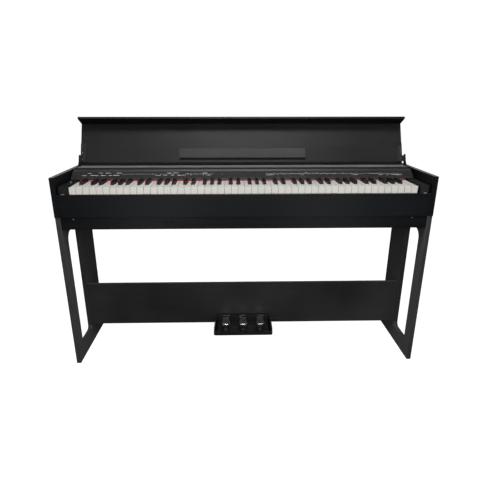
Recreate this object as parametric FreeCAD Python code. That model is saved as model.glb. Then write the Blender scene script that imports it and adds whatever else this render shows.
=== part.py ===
import FreeCAD, Part
import os
from math import cos, hypot, radians, sin, tan

# Digital piano on a stand.  Millimetres, +Z up, the player sits on the -Y side.
# Everything is drawn with Y = 0 at the front face, then saved about the middle of
# the overall depth, so the stored origin is the bottom centre of the whole piano.

os.makedirs("parts", exist_ok=True)
V = FreeCAD.Vector

# ---------------------------------------------------------------- overall
WIDTH = 1349.0
DEPTH = 350.0
HEIGHT = 736.0                 # top of the cabinet, lid folded away
HALF = WIDTH / 2

# ---------------------------------------------------------------- cabinet
SIDE_T = 18.0                  # upper side boards
SIDE_HEIGHT = 141.0
INNER = HALF - SIDE_T          # inner face of the side boards
LEG_INSET = 1.0                # legs stand this far inside the side boards
LEG_T = SIDE_T - LEG_INSET
SIDE_BOTTOM = HEIGHT - SIDE_HEIGHT
BOARD_T = 15.0
KEYBED_T = 16.0
KEYBED_TOP = SIDE_BOTTOM + KEYBED_T
RAIL_FRONT = 1.5
RAIL_T = 10.0
RAIL_TOP = HEIGHT - 60.0
CASE_FRONT = 5.0               # lower case under the keybed
CASE_DEPTH = DEPTH - 50.0
CASE_HEIGHT = 44.0
CASE_BOTTOM = SIDE_BOTTOM - CASE_HEIGHT
CASE_WALL = 9.0
CASE_GAP = 0.5                 # lower case to leg, each side
REAR_PANEL_T = 14.0
REAR_PANEL_SET = 2.0           # rear face of the rear panel, in from the back
REAR_FACE = DEPTH - REAR_PANEL_SET

# ---------------------------------------------------------------- legs
FRONT_POST = 55.0
REAR_POST = 167.0
SLOT_REAR = DEPTH - REAR_POST
FOOT_RAIL = 60.0               # height of the frame under the slot
SLOT_TOP = CASE_BOTTOM - 23.0
SLOT_TOP_RADIUS = 35.0
SLOT_FOOT_RADIUS = 20.0
BACKBOARD_BOTTOM = 82.0
BACKBOARD_TOP = 266.5

# ---------------------------------------------------------------- keys
WHITE_COUNT = 52
KEYS_ROOM = 121.8              # overall width not taken by the keys
WHITE_PITCH = (WIDTH - KEYS_ROOM) / WHITE_COUNT
KEYS_MIDDLE = -2.0             # the keys sit a little left of the middle
KEY_GAP = 1.0
KEYS_HALF = WHITE_PITCH * WHITE_COUNT / 2
KEY_TOP = HEIGHT - 36.0
KEY_BODY = 18.0
SKIRT = 24.0                   # height of a white key's front face
SKIRT_T = 2.5
KEY_FRONT = 13.0
HEAD_LENGTH = 48.0             # white key ahead of the black keys
BLACK_WIDTH = WHITE_PITCH * 0.467
BLACK_RISE = 11.5
BLACK_TAPER = 0.9
BLACK_SLOPE = 5.0
BLACK_REAR = 138.0
PIVOT_Y = 222.0
PIVOT_R = 3.0
PIVOT_Z = KEY_TOP - 12.0
KEY_TAIL = 10.0                # key behind the pivot
RUNNING_FIT = 0.08
FRAME_FRONT = 22.0
FRAME_BASE = 4.0
FRAME_END = 3.0
FRAME_GAP = 1.5                # key frame end plate to the outermost key
KEY_DIP = 10.0
MOVING_OCTAVE = 23             # first white key (middle C) of the moving octave
BLOCK_IN = KEYS_HALF + 7.0
BLOCK_OUT = INNER - 5.0
BLOCK_REAR = 148.0
BLOCK_TOP = KEY_TOP + 3.0

# ---------------------------------------------------------------- arms of the lid
ARM_T = 3.0
ARM_OUT = INNER - 0.8
ARM_CLEAR = 0.7                # arm to the panel ends and to the top board
ARM_SLOT = ARM_OUT - ARM_T - ARM_CLEAR
ARM_SLOT_REAR = DEPTH - 50.0
ARM_RADIUS = 8.0

# ---------------------------------------------------------------- panel
PANEL_MIDDLE = -3.0            # panel and lid sit a little left of the middle
PANEL_HALF = ARM_SLOT + PANEL_MIDDLE
PANEL_LEFT = PANEL_MIDDLE - PANEL_HALF
PANEL_RIGHT = PANEL_MIDDLE + PANEL_HALF
PANEL_LIP_Y = 150.0
PANEL_LIP_TOP = HEIGHT - 27.0
PANEL_LIP_BOTTOM = HEIGHT - 32.0
PANEL_BREAK_Y = 184.0
PANEL_BREAK_Z = HEIGHT - 7.0
PANEL_TOP_Y = 191.0
PANEL_REAR = 239.0
PANEL_T = 3.0
PANEL_FOOT = 16.0              # depth of the panel's rear flange
TOP_BOARD_GAP = 0.5
FELT_LIFT = 1.0                # felt strip above the resting white keys
FELT_T = 2.5

# ---------------------------------------------------------------- lid
LID_TILT = 26.57               # open lid leans back from upright
LID_T = 9.0
LIP_CLEARANCE = 3.0            # cushion height under the closed lip
OPEN_Y = PANEL_REAR + 47.2     # lower inner edge of the open lid
OPEN_Z = HEIGHT + 6.3
LID_LENGTH = PANEL_BREAK_Y - 7.0 - LID_T
LID_BEVEL_S = 8.0              # slanted lower edge of the open lid
LID_BEVEL_N = 6.0
EAR_TOP = 37.0
EAR_BOTTOM = -6.0
EAR_FRONT = -14.0
EAR_BACK = 6.0
EAR_ROUND = 6.0
FLANGE_WIDTH = 22.0
FLANGE_T = 2.5
FLANGE_START = 10.0
FLANGE_END = 85.0
LID_SCREW_R = 2.3
LID_SCREW_RISE = 1.2
LID_SCREW_IN = 7.0
LID_SCREW_S = (21.5, 47.0, 72.0)
PIN_R = 4.0
PIN_LENGTH = 9.0
PIN_FIT = 0.05
LEDGE_HALF = 253.0
LEDGE_AXIS_S = 25.5
LEDGE_AXIS_N = -5.0
LEDGE_TOP_S = 61.5
LEDGE_T = 8.4
LEDGE_KNUCKLE = 4.2
LEDGE_PIN_R = 1.5
HINGE_X = (-190.0, 0.0, 190.0)
HINGE_WIDTH = 14.0
HINGE_KNUCKLE = 2.6
HINGE_PLATE_T = 1.5
HINGE_PLATE_RISE = 14.0
HINGE_CLEAR = 0.4

# ---------------------------------------------------------------- pedals
UNIT_X = -5.0                  # the unit sits a little left of the middle
UNIT_FRONT = SLOT_REAR - 81.0
UNIT_BOTTOM = 62.0
UNIT_TOP = 125.0
UNIT_HALF_FRONT = 123.0
UNIT_HALF_REAR = 108.0
UNIT_WALL = 4.0
UNIT_CORNER = 7.0              # rounding of the lower edges along the unit
UNIT_LIP_TOP = 78.0
UNIT_BOX_Y = SLOT_REAR - 18.0
PEDAL_PITCH = 72.0
PEDAL_TIP = UNIT_FRONT - 8.0
PEDAL_TOP = 119.0
PEDAL_PLATE = 7.0
PEDAL_NOSE = 14.0
PEDAL_WIDTH_TIP = 37.0
PEDAL_WIDTH_REAR = 27.0
PEDAL_CORNER = 12.0            # plan rounding of the pedal's tip
PEDAL_EDGE = 2.5
PEDAL_AXIS_Y = UNIT_BOX_Y + 10.0
PEDAL_AXIS_Z = PEDAL_TOP - 4.0
PEDAL_ROD_R = 2.0
PAD_WIDTH = 18.0
PAD_DEPTH = 12.0
PAD_HEIGHT = 21.0


# ================================================================ helpers
LID_REAR = OPEN_Y + (LID_LENGTH + LID_T) * sin(radians(LID_TILT)) + LID_T * cos(radians(LID_TILT))
MIDDLE_Y = LID_REAR / 2


def save(name, *shapes):
    """Write one node; several solids in one node stay separate solids."""
    shape = shapes[0] if len(shapes) == 1 else Part.makeCompound(list(shapes))
    shape = shape.translated(V(0, -MIDDLE_Y, 0))
    shape.exportStep("parts/%s.step" % name)


def block(x0, x1, y0, y1, z0, z1):
    return Part.makeBox(x1 - x0, y1 - y0, z1 - z0, V(x0, y0, z0))


def rod(radius, start, end):
    along = end - start
    return Part.makeCylinder(radius, along.Length, start, along)


def prism_x(points, x0, x1):
    """Extrude a (y, z) outline from x0 to x1."""
    loop = [V(x0, y, z) for y, z in points]
    return Part.Face(Part.makePolygon(loop + loop[:1])).extrude(V(x1 - x0, 0, 0))


def prism_z(points, z0, z1):
    """Extrude an (x, y) outline from z0 to z1."""
    loop = [V(x, y, z0) for x, y in points]
    return Part.Face(Part.makePolygon(loop + loop[:1])).extrude(V(0, 0, z1 - z0))


def fuse(shapes):
    return shapes[0].multiFuse(list(shapes[1:])).removeSplitter()


def mirrored(shape):
    """The same piece for the other end of the piano."""
    return shape.mirror(V(0, 0, 0), V(1, 0, 0))


def round_edges(shape, radius, along):
    """Round the straight edges that run along one axis."""
    chosen = []
    for edge in shape.Edges:
        ends = edge.Vertexes
        if len(ends) == 2:
            step = ends[1].Point - ends[0].Point
            if abs(abs(step.dot(along)) - step.Length) < 1e-6:
                chosen.append(edge)
    return shape.makeFillet(radius, chosen)


# ================================================================ lid frame
LID_UP = V(0, sin(radians(LID_TILT)), cos(radians(LID_TILT)))
LID_OUT = V(0, cos(radians(LID_TILT)), -sin(radians(LID_TILT)))
LID_FOOT = V(0, OPEN_Y, OPEN_Z)
LID_SWING = 90.0 + LID_TILT


def lid_point(x, s, n):
    """A point of the open lid: s runs up its face, n points out of its back."""
    return V(x, 0, 0) + LID_FOOT + LID_UP * s + LID_OUT * n


def lid_block(x0, x1, s0, s1, n0, n1):
    """A box square to the open lid."""
    corners = [lid_point(x0, s, n) for s, n in ((s0, n0), (s1, n0), (s1, n1), (s0, n1))]
    return Part.Face(Part.makePolygon(corners + corners[:1])).extrude(V(x1 - x0, 0, 0))


def lid_pivot():
    """Centre that carries the shut lid (face down, lip in front) to the open one."""
    shut_y = LID_T + LID_LENGTH
    shut_z = HEIGHT - LID_T
    step_y = OPEN_Y - shut_y
    step_z = OPEN_Z - shut_z
    chord = hypot(step_y, step_z)
    drop = chord / 2 / tan(radians(LID_SWING / 2))
    middle_y = (OPEN_Y + shut_y) / 2
    middle_z = (OPEN_Z + shut_z) / 2
    return V(0, middle_y + drop * step_z / chord, middle_z - drop * step_y / chord)


LID_PIVOT = lid_pivot()
LIP_TIP_N = -(HEIGHT - LID_T - RAIL_TOP - LIP_CLEARANCE)


# ================================================================ cabinet
def side_board():
    board = block(INNER, HALF, 0, DEPTH, SIDE_BOTTOM, HEIGHT)
    board = round_edges(board, 1.5, V(0, 1, 0))
    hole_end = ARM_OUT + PIN_LENGTH + 0.5
    centre = V(INNER, LID_PIVOT.y, LID_PIVOT.z)
    return board.cut(rod(PIN_R + PIN_FIT, centre, V(hole_end, LID_PIVOT.y, LID_PIVOT.z)))


def leg_frame():
    """Flat closed frame with one tall rounded slot through it."""
    leg = block(INNER, INNER + LEG_T, 1.0, DEPTH - 1.0, 0, SIDE_BOTTOM)
    slot = block(INNER - 1, HALF, FRONT_POST, SLOT_REAR, FOOT_RAIL, SLOT_TOP)
    for radius, height in ((SLOT_FOOT_RADIUS, FOOT_RAIL), (SLOT_TOP_RADIUS, SLOT_TOP)):
        corners = [e for e in slot.Edges if e.BoundBox.XLength > LEG_T
                   and abs(e.BoundBox.Center.z - height) < 0.01]
        slot = slot.makeFillet(radius, corners)
    leg = leg.cut(slot)
    edges = []
    for edge in leg.Edges:
        box = edge.BoundBox
        on_outline = box.YMax < 1.01 or box.YMin > DEPTH - 1.01
        if on_outline and box.ZLength > SIDE_BOTTOM - 1:
            edges.append(edge)
    return leg.makeFillet(1.2, edges)


def backboard():
    return block(-INNER, INNER, SLOT_REAR, SLOT_REAR + BOARD_T, BACKBOARD_BOTTOM, BACKBOARD_TOP)


def front_rail():
    rail = block(-INNER, INNER, RAIL_FRONT, RAIL_FRONT + RAIL_T, SIDE_BOTTOM, RAIL_TOP)
    return round_edges(rail, 1.0, V(1, 0, 0))


def keybed_board():
    return block(-INNER, INNER, RAIL_FRONT + RAIL_T, REAR_FACE - REAR_PANEL_T,
                 SIDE_BOTTOM, KEYBED_TOP)


SPEAKER_X = HALF - 253.0
SPEAKER_Y = CASE_DEPTH / 2
SPEAKER_R = 50.0
SPEAKER_FLANGE = 6.0
CONE_R = 44.0
JACK_X = (-286.0, -262.0)
JACK_Z = CASE_BOTTOM + 24.0
JACK_R = 4.5
JACK_CLEAR = 0.1                # round the barrel where it passes the tray wall
JACK_BORE_R = 3.2


def lower_case():
    """Shallow open tray under the keybed for the speakers."""
    outer = INNER - CASE_GAP
    tray = block(-outer, outer, CASE_FRONT, CASE_FRONT + CASE_DEPTH, CASE_BOTTOM, SIDE_BOTTOM)
    inside = block(-outer + CASE_WALL, outer - CASE_WALL,
                   CASE_FRONT + CASE_WALL, CASE_FRONT + CASE_DEPTH - CASE_WALL,
                   CASE_BOTTOM + CASE_WALL, SIDE_BOTTOM + 1)
    tray = tray.cut(inside)
    for x in (-SPEAKER_X, SPEAKER_X):
        tray = tray.cut(rod(CONE_R, V(x, SPEAKER_Y, CASE_BOTTOM - 1),
                            V(x, SPEAKER_Y, CASE_BOTTOM + CASE_WALL + 1)))
    for x in JACK_X:
        tray = tray.cut(rod(JACK_R + JACK_CLEAR, V(x, CASE_FRONT - 1, JACK_Z),
                            V(x, CASE_FRONT + CASE_WALL + 1, JACK_Z)))
    return tray


INLET_X = (380.0, 500.0)
INLET_Z = (SIDE_BOTTOM + 45.0, SIDE_BOTTOM + 95.0)


def rear_panel():
    inside = REAR_FACE - REAR_PANEL_T
    panel = block(-INNER, INNER, inside, REAR_FACE, SIDE_BOTTOM, HEIGHT - BOARD_T)
    opening = block(INLET_X[0], INLET_X[1], inside - 1, REAR_FACE + 1, INLET_Z[0], INLET_Z[1])
    return panel.cut(opening)


def top_board():
    """Rear top, narrower at the front where the lid arms pass."""
    front = PANEL_REAR + TOP_BOARD_GAP
    points = [(-ARM_SLOT, front), (ARM_SLOT, front),
              (ARM_SLOT, ARM_SLOT_REAR), (INNER, ARM_SLOT_REAR),
              (INNER, DEPTH), (-INNER, DEPTH),
              (-INNER, ARM_SLOT_REAR), (-ARM_SLOT, ARM_SLOT_REAR)]
    return prism_z(points, HEIGHT - BOARD_T, HEIGHT)


BUTTON_X = 17.5 - BLOCK_OUT
BUTTON_Y = 62.0
BUTTON_R = 4.5
BUTTON_RISE = 2.0
BUTTON_DEPTH = 8.0
SLIDER_X = 21.5 - BLOCK_OUT
SLIDER_Y = 88.0
SLIDER_TRAVEL = 10.0
SLIDER_STEM = 1.5              # half width of the slider's stem
SLIDER_STEM_REACH = 3.0        # half length of the stem
SLIDER_CAP = (2.0, 4.0, 6.0)   # half width, half length and rise of the cap
WELL_DEPTH = 12.0              # controls' wells in the end block
CONTROL_CLEAR = 0.3


def key_block(left):
    """End block beside the keys; the left one carries the two controls."""
    body = block(BLOCK_IN, BLOCK_OUT, KEY_FRONT, BLOCK_REAR, KEYBED_TOP, BLOCK_TOP)
    body = round_edges(body, 1.5, V(0, 1, 0))
    if not left:
        return body
    body = mirrored(body)
    well = BLOCK_TOP - WELL_DEPTH
    body = body.cut(rod(BUTTON_R + CONTROL_CLEAR, V(BUTTON_X, BUTTON_Y, well),
                        V(BUTTON_X, BUTTON_Y, BLOCK_TOP + 1)))
    reach = SLIDER_TRAVEL + SLIDER_STEM_REACH + CONTROL_CLEAR
    half = SLIDER_STEM + CONTROL_CLEAR
    slot = block(SLIDER_X - half, SLIDER_X + half, SLIDER_Y - reach, SLIDER_Y + reach,
                 well, BLOCK_TOP + 1)
    return body.cut(slot)


def power_button():
    stem = rod(BUTTON_R, V(BUTTON_X, BUTTON_Y, BLOCK_TOP - BUTTON_DEPTH),
               V(BUTTON_X, BUTTON_Y, BLOCK_TOP + BUTTON_RISE))
    return stem.makeChamfer(0.6, [e for e in stem.Edges if e.BoundBox.ZMin > BLOCK_TOP])


def volume_slider():
    half_width, half_length, rise = SLIDER_CAP
    stem = block(SLIDER_X - SLIDER_STEM, SLIDER_X + SLIDER_STEM,
                 SLIDER_Y - SLIDER_STEM_REACH, SLIDER_Y + SLIDER_STEM_REACH,
                 BLOCK_TOP - BUTTON_DEPTH, BLOCK_TOP + 1)
    cap = block(SLIDER_X - half_width, SLIDER_X + half_width,
                SLIDER_Y - half_length, SLIDER_Y + half_length,
                BLOCK_TOP + CONTROL_CLEAR, BLOCK_TOP + rise)
    cap = round_edges(cap, 1.0, V(1, 0, 0))
    return fuse([stem, cap])


def control_panel():
    """Thin moulded strip: face above the keys, bevel, flat top, rear flange."""
    t = PANEL_T
    outline = [(PANEL_LIP_Y, PANEL_LIP_BOTTOM), (PANEL_LIP_Y, PANEL_LIP_TOP),
               (PANEL_BREAK_Y, PANEL_BREAK_Z), (PANEL_TOP_Y, HEIGHT), (PANEL_REAR, HEIGHT),
               (PANEL_REAR, HEIGHT - PANEL_FOOT), (PANEL_REAR - t, HEIGHT - PANEL_FOOT),
               (PANEL_REAR - t, HEIGHT - t), (PANEL_TOP_Y + t * 0.4, HEIGHT - t),
               (PANEL_BREAK_Y + t * 0.7, PANEL_BREAK_Z - t * 0.9),
               (PANEL_LIP_Y + t, PANEL_LIP_TOP - t * 0.5), (PANEL_LIP_Y + t, PANEL_LIP_BOTTOM)]
    ends = outline[:5] + [(PANEL_REAR, PANEL_LIP_BOTTOM)]
    pieces = [prism_x(outline, PANEL_LEFT, PANEL_RIGHT)]
    pieces.append(prism_x(ends, PANEL_LEFT, PANEL_LEFT + t))
    pieces.append(prism_x(ends, PANEL_RIGHT - t, PANEL_RIGHT))
    return fuse(pieces)


def key_felt():
    return block(KEYS_MIDDLE - KEYS_HALF, KEYS_MIDDLE + KEYS_HALF, BLACK_REAR + 1, PANEL_LIP_Y,
                 KEY_TOP + FELT_LIFT, KEY_TOP + FELT_LIFT + FELT_T)


CUSHION_X = INNER - 20.0
CUSHION_SIZE = (12.0, 6.0)


def lid_cushions():
    """Soft pads on the front rail that the shut lip lands on."""
    middle = RAIL_FRONT + RAIL_T / 2
    half_x, half_y = CUSHION_SIZE[0] / 2, CUSHION_SIZE[1] / 2
    return [block(x - half_x, x + half_x, middle - half_y, middle + half_y,
                  RAIL_TOP, RAIL_TOP + LIP_CLEARANCE)
            for x in (-CUSHION_X, CUSHION_X)]


# ================================================================ keys
KEYS_LEFT = KEYS_MIDDLE - KEYS_HALF
KEYS_RIGHT = KEYS_MIDDLE + KEYS_HALF


def black_slots(first, count):
    """(left, right) of each black key between `count` equal-tailed white keys."""
    parts = 2 * count - 1
    width = count * WHITE_PITCH / parts
    return [(first + width * i, first + width * (i + 1)) for i in range(1, parts, 2)]


def all_black_slots():
    """Slots of all 36 black keys, left to right."""
    left = KEYS_LEFT
    slots = [black_slots(left - 2 * WHITE_PITCH, 4)[2]]
    for octave in range(7):
        start = left + (2 + 7 * octave) * WHITE_PITCH
        slots += black_slots(start, 3)
        slots += black_slots(start + 3 * WHITE_PITCH, 4)
    return slots


BLACK_SLOTS = all_black_slots()
KEY_REAR = PIVOT_Y + KEY_TAIL


def pivot_hole(x0, x1):
    return rod(PIVOT_R + RUNNING_FIT, V(x0 - 1, PIVOT_Y, PIVOT_Z), V(x1 + 1, PIVOT_Y, PIVOT_Z))


def white_key(index):
    """One white key: full-width head, tail narrowed beside the black keys."""
    x0 = KEYS_LEFT + index * WHITE_PITCH
    x1 = x0 + WHITE_PITCH
    half_gap = KEY_GAP / 2
    tail0 = x0 + half_gap
    tail1 = x1 - half_gap
    for left, right in BLACK_SLOTS:
        if left < x0 < right:
            tail0 = right + half_gap
        if left < x1 < right:
            tail1 = left - half_gap
    head0 = x0 + half_gap
    head1 = x1 - half_gap
    step = KEY_FRONT + HEAD_LENGTH - 1
    points = [(head0, KEY_FRONT), (head1, KEY_FRONT), (head1, step), (tail1, step),
              (tail1, KEY_REAR), (tail0, KEY_REAR), (tail0, step), (head0, step)]
    clean = [p for i, p in enumerate(points) if hypot(p[0] - points[i - 1][0],
                                                      p[1] - points[i - 1][1]) > 1e-6]
    key = prism_z(clean, KEY_TOP - KEY_BODY, KEY_TOP)
    skirt = block(head0, head1, KEY_FRONT, KEY_FRONT + SKIRT_T, KEY_TOP - SKIRT, KEY_TOP - 1)
    return fuse([key, skirt]).cut(pivot_hole(tail0, tail1))


def black_key(slot):
    """One black key: stick under a tapered cap."""
    middle = (slot[0] + slot[1]) / 2
    x0 = middle - BLACK_WIDTH / 2
    x1 = middle + BLACK_WIDTH / 2
    front = KEY_FRONT + HEAD_LENGTH
    low = [V(x0, front, KEY_TOP), V(x1, front, KEY_TOP),
           V(x1, BLACK_REAR, KEY_TOP), V(x0, BLACK_REAR, KEY_TOP)]
    top = KEY_TOP + BLACK_RISE
    ridge = front + BLACK_SLOPE
    high = [V(x0 + BLACK_TAPER, ridge, top), V(x1 - BLACK_TAPER, ridge, top),
            V(x1 - BLACK_TAPER, BLACK_REAR, top), V(x0 + BLACK_TAPER, BLACK_REAR, top)]
    cap = Part.makeLoft([Part.makePolygon(low + low[:1]), Part.makePolygon(high + high[:1])], True)
    stick = block(x0, x1, front, KEY_REAR, KEY_TOP - KEY_BODY, KEY_TOP)
    return fuse([stick, cap]).cut(pivot_hole(x0, x1))


STOP_Y = (44.0, 58.0)
SUPPORT_Y = (88.0, 98.0)
CONTACT_Y = (78.0, 108.0)
WHITE_DOME_Y = 86.0
BLACK_DOME_Y = 100.0
DOME_R = 3.5
DOME_RISE = 3.0
CONTACT_T = 2.0
CONTACT_DROP = 6.0             # contact support below the front stop rail
STOP_TOP = KEY_TOP - KEY_BODY - KEY_DIP


def key_frame():
    """Base plate, end plates, front stop rail and contact support of the keys."""
    left = KEYS_LEFT - FRAME_GAP
    right = KEYS_RIGHT + FRAME_GAP
    rear = KEY_REAR + 6
    plate = KEYBED_TOP + FRAME_BASE
    pieces = [block(left - FRAME_END, right + FRAME_END, FRAME_FRONT, rear, KEYBED_TOP, plate),
              block(left, right, STOP_Y[0], STOP_Y[1], plate - 1, STOP_TOP),
              block(left, right, SUPPORT_Y[0], SUPPORT_Y[1], plate - 1, STOP_TOP - CONTACT_DROP)]
    for x0, x1 in ((left - FRAME_END, left), (right, right + FRAME_END)):
        pieces.append(block(x0, x1, FRAME_FRONT, rear, plate - 1, KEY_TOP - 4))
    frame = fuse(pieces)
    return frame.cut(rod(PIVOT_R, V(left - FRAME_END - 1, PIVOT_Y, PIVOT_Z),
                         V(right + FRAME_END + 1, PIVOT_Y, PIVOT_Z)))


def key_pivot_rod():
    reach = FRAME_GAP + FRAME_END
    return rod(PIVOT_R, V(KEYS_LEFT - reach, PIVOT_Y, PIVOT_Z),
               V(KEYS_RIGHT + reach, PIVOT_Y, PIVOT_Z))


def key_contacts():
    """Contact board with one rubber dome under every key."""
    base = STOP_TOP - CONTACT_DROP
    top = base + CONTACT_T
    board = block(KEYS_LEFT, KEYS_RIGHT, CONTACT_Y[0], CONTACT_Y[1], base, top)
    spots = [(KEYS_LEFT + (i + 0.5) * WHITE_PITCH, WHITE_DOME_Y) for i in range(WHITE_COUNT)]
    spots += [((left + right) / 2, BLACK_DOME_Y) for left, right in BLACK_SLOTS]
    return [board] + [rod(DOME_R, V(x, y, top), V(x, y, top + DOME_RISE)) for x, y in spots]


NOTE_NAMES = ("c", "d", "e", "f", "g", "a", "b")
SHARP_NAMES = ("c_sharp", "d_sharp", "f_sharp", "g_sharp", "a_sharp")


def build_keys():
    """Static keys in four grouped nodes, the middle octave one node per key."""
    bass = range(0, MOVING_OCTAVE)
    treble = range(MOVING_OCTAVE + 7, WHITE_COUNT)
    save("white_keys_bass", *[white_key(i) for i in bass])
    save("white_keys_treble", *[white_key(i) for i in treble])
    first = KEYS_LEFT + MOVING_OCTAVE * WHITE_PITCH
    last = first + 7 * WHITE_PITCH
    save("black_keys_bass", *[black_key(s) for s in BLACK_SLOTS if s[1] < first])
    save("black_keys_treble", *[black_key(s) for s in BLACK_SLOTS if s[0] > last])
    for step, name in enumerate(NOTE_NAMES):
        save("key_%s4" % name, white_key(MOVING_OCTAVE + step))
    middle = [s for s in BLACK_SLOTS if first < s[0] < last]
    for name, slot in zip(SHARP_NAMES, middle):
        save("key_%s4" % name, black_key(slot))


# ================================================================ lid
def lid_panel():
    """Flat board, slanted along its lower front edge."""
    points = [(LID_BEVEL_S, 0), (LID_LENGTH, 0), (LID_LENGTH, LID_T), (0, LID_T), (0, LID_BEVEL_N)]
    corners = [lid_point(PANEL_LEFT, s, n) for s, n in points]
    outline = Part.Face(Part.makePolygon(corners + corners[:1]))
    return outline.extrude(V(PANEL_RIGHT - PANEL_LEFT, 0, 0))


def lid_lip():
    """Front board of the lid, hanging over the key fronts when shut."""
    lip = lid_block(PANEL_LEFT, PANEL_RIGHT, LID_LENGTH, LID_LENGTH + LID_T, LIP_TIP_N, LID_T)
    return round_edges(lip, 1.5, V(1, 0, 0))


def lid_arm(lid_end):
    """Bent bracket: flange under the lid's end, swing arm down to the pivot pin."""
    x0 = ARM_OUT - ARM_T
    x1 = ARM_OUT
    flange = lid_block(lid_end - FLANGE_WIDTH, lid_end, FLANGE_START, FLANGE_END, -FLANGE_T, 0)
    bridge = lid_block(lid_end - 1, x1, FLANGE_START, EAR_TOP - 4, -FLANGE_T, 0)
    ear = lid_block(x0, x1, EAR_BOTTOM, EAR_TOP, EAR_FRONT, EAR_BACK)
    ear = round_edges(ear, EAR_ROUND, V(1, 0, 0))
    eye = rod(ARM_RADIUS, V(x0, LID_PIVOT.y, LID_PIVOT.z), V(x1, LID_PIVOT.y, LID_PIVOT.z))
    pivot_s = (LID_PIVOT - LID_FOOT).dot(LID_UP)
    pivot_n = (LID_PIVOT - LID_FOOT).dot(LID_OUT)
    side = ARM_RADIUS - 0.5
    join = EAR_BOTTOM + 12
    web_points = [lid_point(x0, pivot_s, pivot_n - side), lid_point(x0, join, EAR_FRONT),
                  lid_point(x0, join, EAR_BACK), lid_point(x0, pivot_s, pivot_n + side)]
    web = Part.Face(Part.makePolygon(web_points + web_points[:1])).extrude(V(ARM_T, 0, 0))
    pin = rod(PIN_R, V(x1 - 1, LID_PIVOT.y, LID_PIVOT.z),
              V(x1 + PIN_LENGTH, LID_PIVOT.y, LID_PIVOT.z))
    return fuse([flange, bridge, ear, eye, web, pin])


def lid_screws():
    """Six screws through the two flanges into the lid."""
    screws = []
    for x in (PANEL_LEFT + LID_SCREW_IN, PANEL_RIGHT - LID_SCREW_IN):
        for s in LID_SCREW_S:
            seat = lid_point(x, s, -FLANGE_T - LID_SCREW_RISE)
            screws.append(Part.makeCylinder(LID_SCREW_R, LID_SCREW_RISE, seat, LID_OUT))
    return screws


def hinge_gaps(extra):
    return [(PANEL_MIDDLE + x - HINGE_WIDTH / 2 - extra, PANEL_MIDDLE + x + HINGE_WIDTH / 2 + extra)
            for x in HINGE_X]


def music_ledge():
    """Folding ledge for sheet music, hinged along its lower edge."""
    left = PANEL_MIDDLE - LEDGE_HALF
    right = PANEL_MIDDLE + LEDGE_HALF
    outer = LEDGE_AXIS_N - LEDGE_KNUCKLE
    plate = lid_block(left, right, LEDGE_AXIS_S, LEDGE_TOP_S, outer, outer + LEDGE_T)
    axis0 = lid_point(left, LEDGE_AXIS_S, LEDGE_AXIS_N)
    axis1 = lid_point(right, LEDGE_AXIS_S, LEDGE_AXIS_N)
    ledge = fuse([plate, rod(LEDGE_KNUCKLE, axis0, axis1)])
    room = HINGE_KNUCKLE + HINGE_CLEAR
    for x0, x1 in hinge_gaps(HINGE_CLEAR):
        knuckle_room = lid_block(x0, x1, LEDGE_AXIS_S - LEDGE_T, LEDGE_AXIS_S + room,
                                 LEDGE_AXIS_N - room, 1)
        plate_room = lid_block(x0, x1, LEDGE_AXIS_S, LEDGE_AXIS_S + HINGE_PLATE_RISE + HINGE_CLEAR,
                               -HINGE_PLATE_T - HINGE_CLEAR, 1)
        ledge = ledge.cut(knuckle_room).cut(plate_room)
    return ledge.cut(rod(LEDGE_PIN_R + RUNNING_FIT, axis0 - V(1, 0, 0), axis1 + V(1, 0, 0)))


def ledge_hinges():
    """Three small brackets hidden behind the ledge, and the long pin through them."""
    pieces = []
    radius = HINGE_KNUCKLE
    neck_half = radius - 0.8
    for x0, x1 in hinge_gaps(0):
        plate = lid_block(x0, x1, LEDGE_AXIS_S - neck_half, LEDGE_AXIS_S + HINGE_PLATE_RISE,
                          -HINGE_PLATE_T, 0)
        neck = lid_block(x0, x1, LEDGE_AXIS_S - neck_half, LEDGE_AXIS_S + neck_half,
                         LEDGE_AXIS_N, -1)
        knuckle = rod(radius, lid_point(x0, LEDGE_AXIS_S, LEDGE_AXIS_N),
                      lid_point(x1, LEDGE_AXIS_S, LEDGE_AXIS_N))
        pieces.append(fuse([plate, neck, knuckle]))
    inset = LEDGE_HALF - 6
    pin = rod(LEDGE_PIN_R, lid_point(PANEL_MIDDLE - inset, LEDGE_AXIS_S, LEDGE_AXIS_N),
              lid_point(PANEL_MIDDLE + inset, LEDGE_AXIS_S, LEDGE_AXIS_N))
    return fuse(pieces + [pin])


# ================================================================ pedals
def unit_footprint(inset, y0, y1):
    """Trapezoid outline of the pedal unit, wider at the front."""
    def half(y):
        share = (y - UNIT_FRONT) / (SLOT_REAR - UNIT_FRONT)
        return UNIT_HALF_FRONT + (UNIT_HALF_REAR - UNIT_HALF_FRONT) * share - inset
    return [(UNIT_X - half(y0), y0), (UNIT_X + half(y0), y0),
            (UNIT_X + half(y1), y1), (UNIT_X - half(y1), y1)]


def pedal_centres():
    return [UNIT_X + PEDAL_PITCH * i for i in (-1, 0, 1)]


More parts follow.
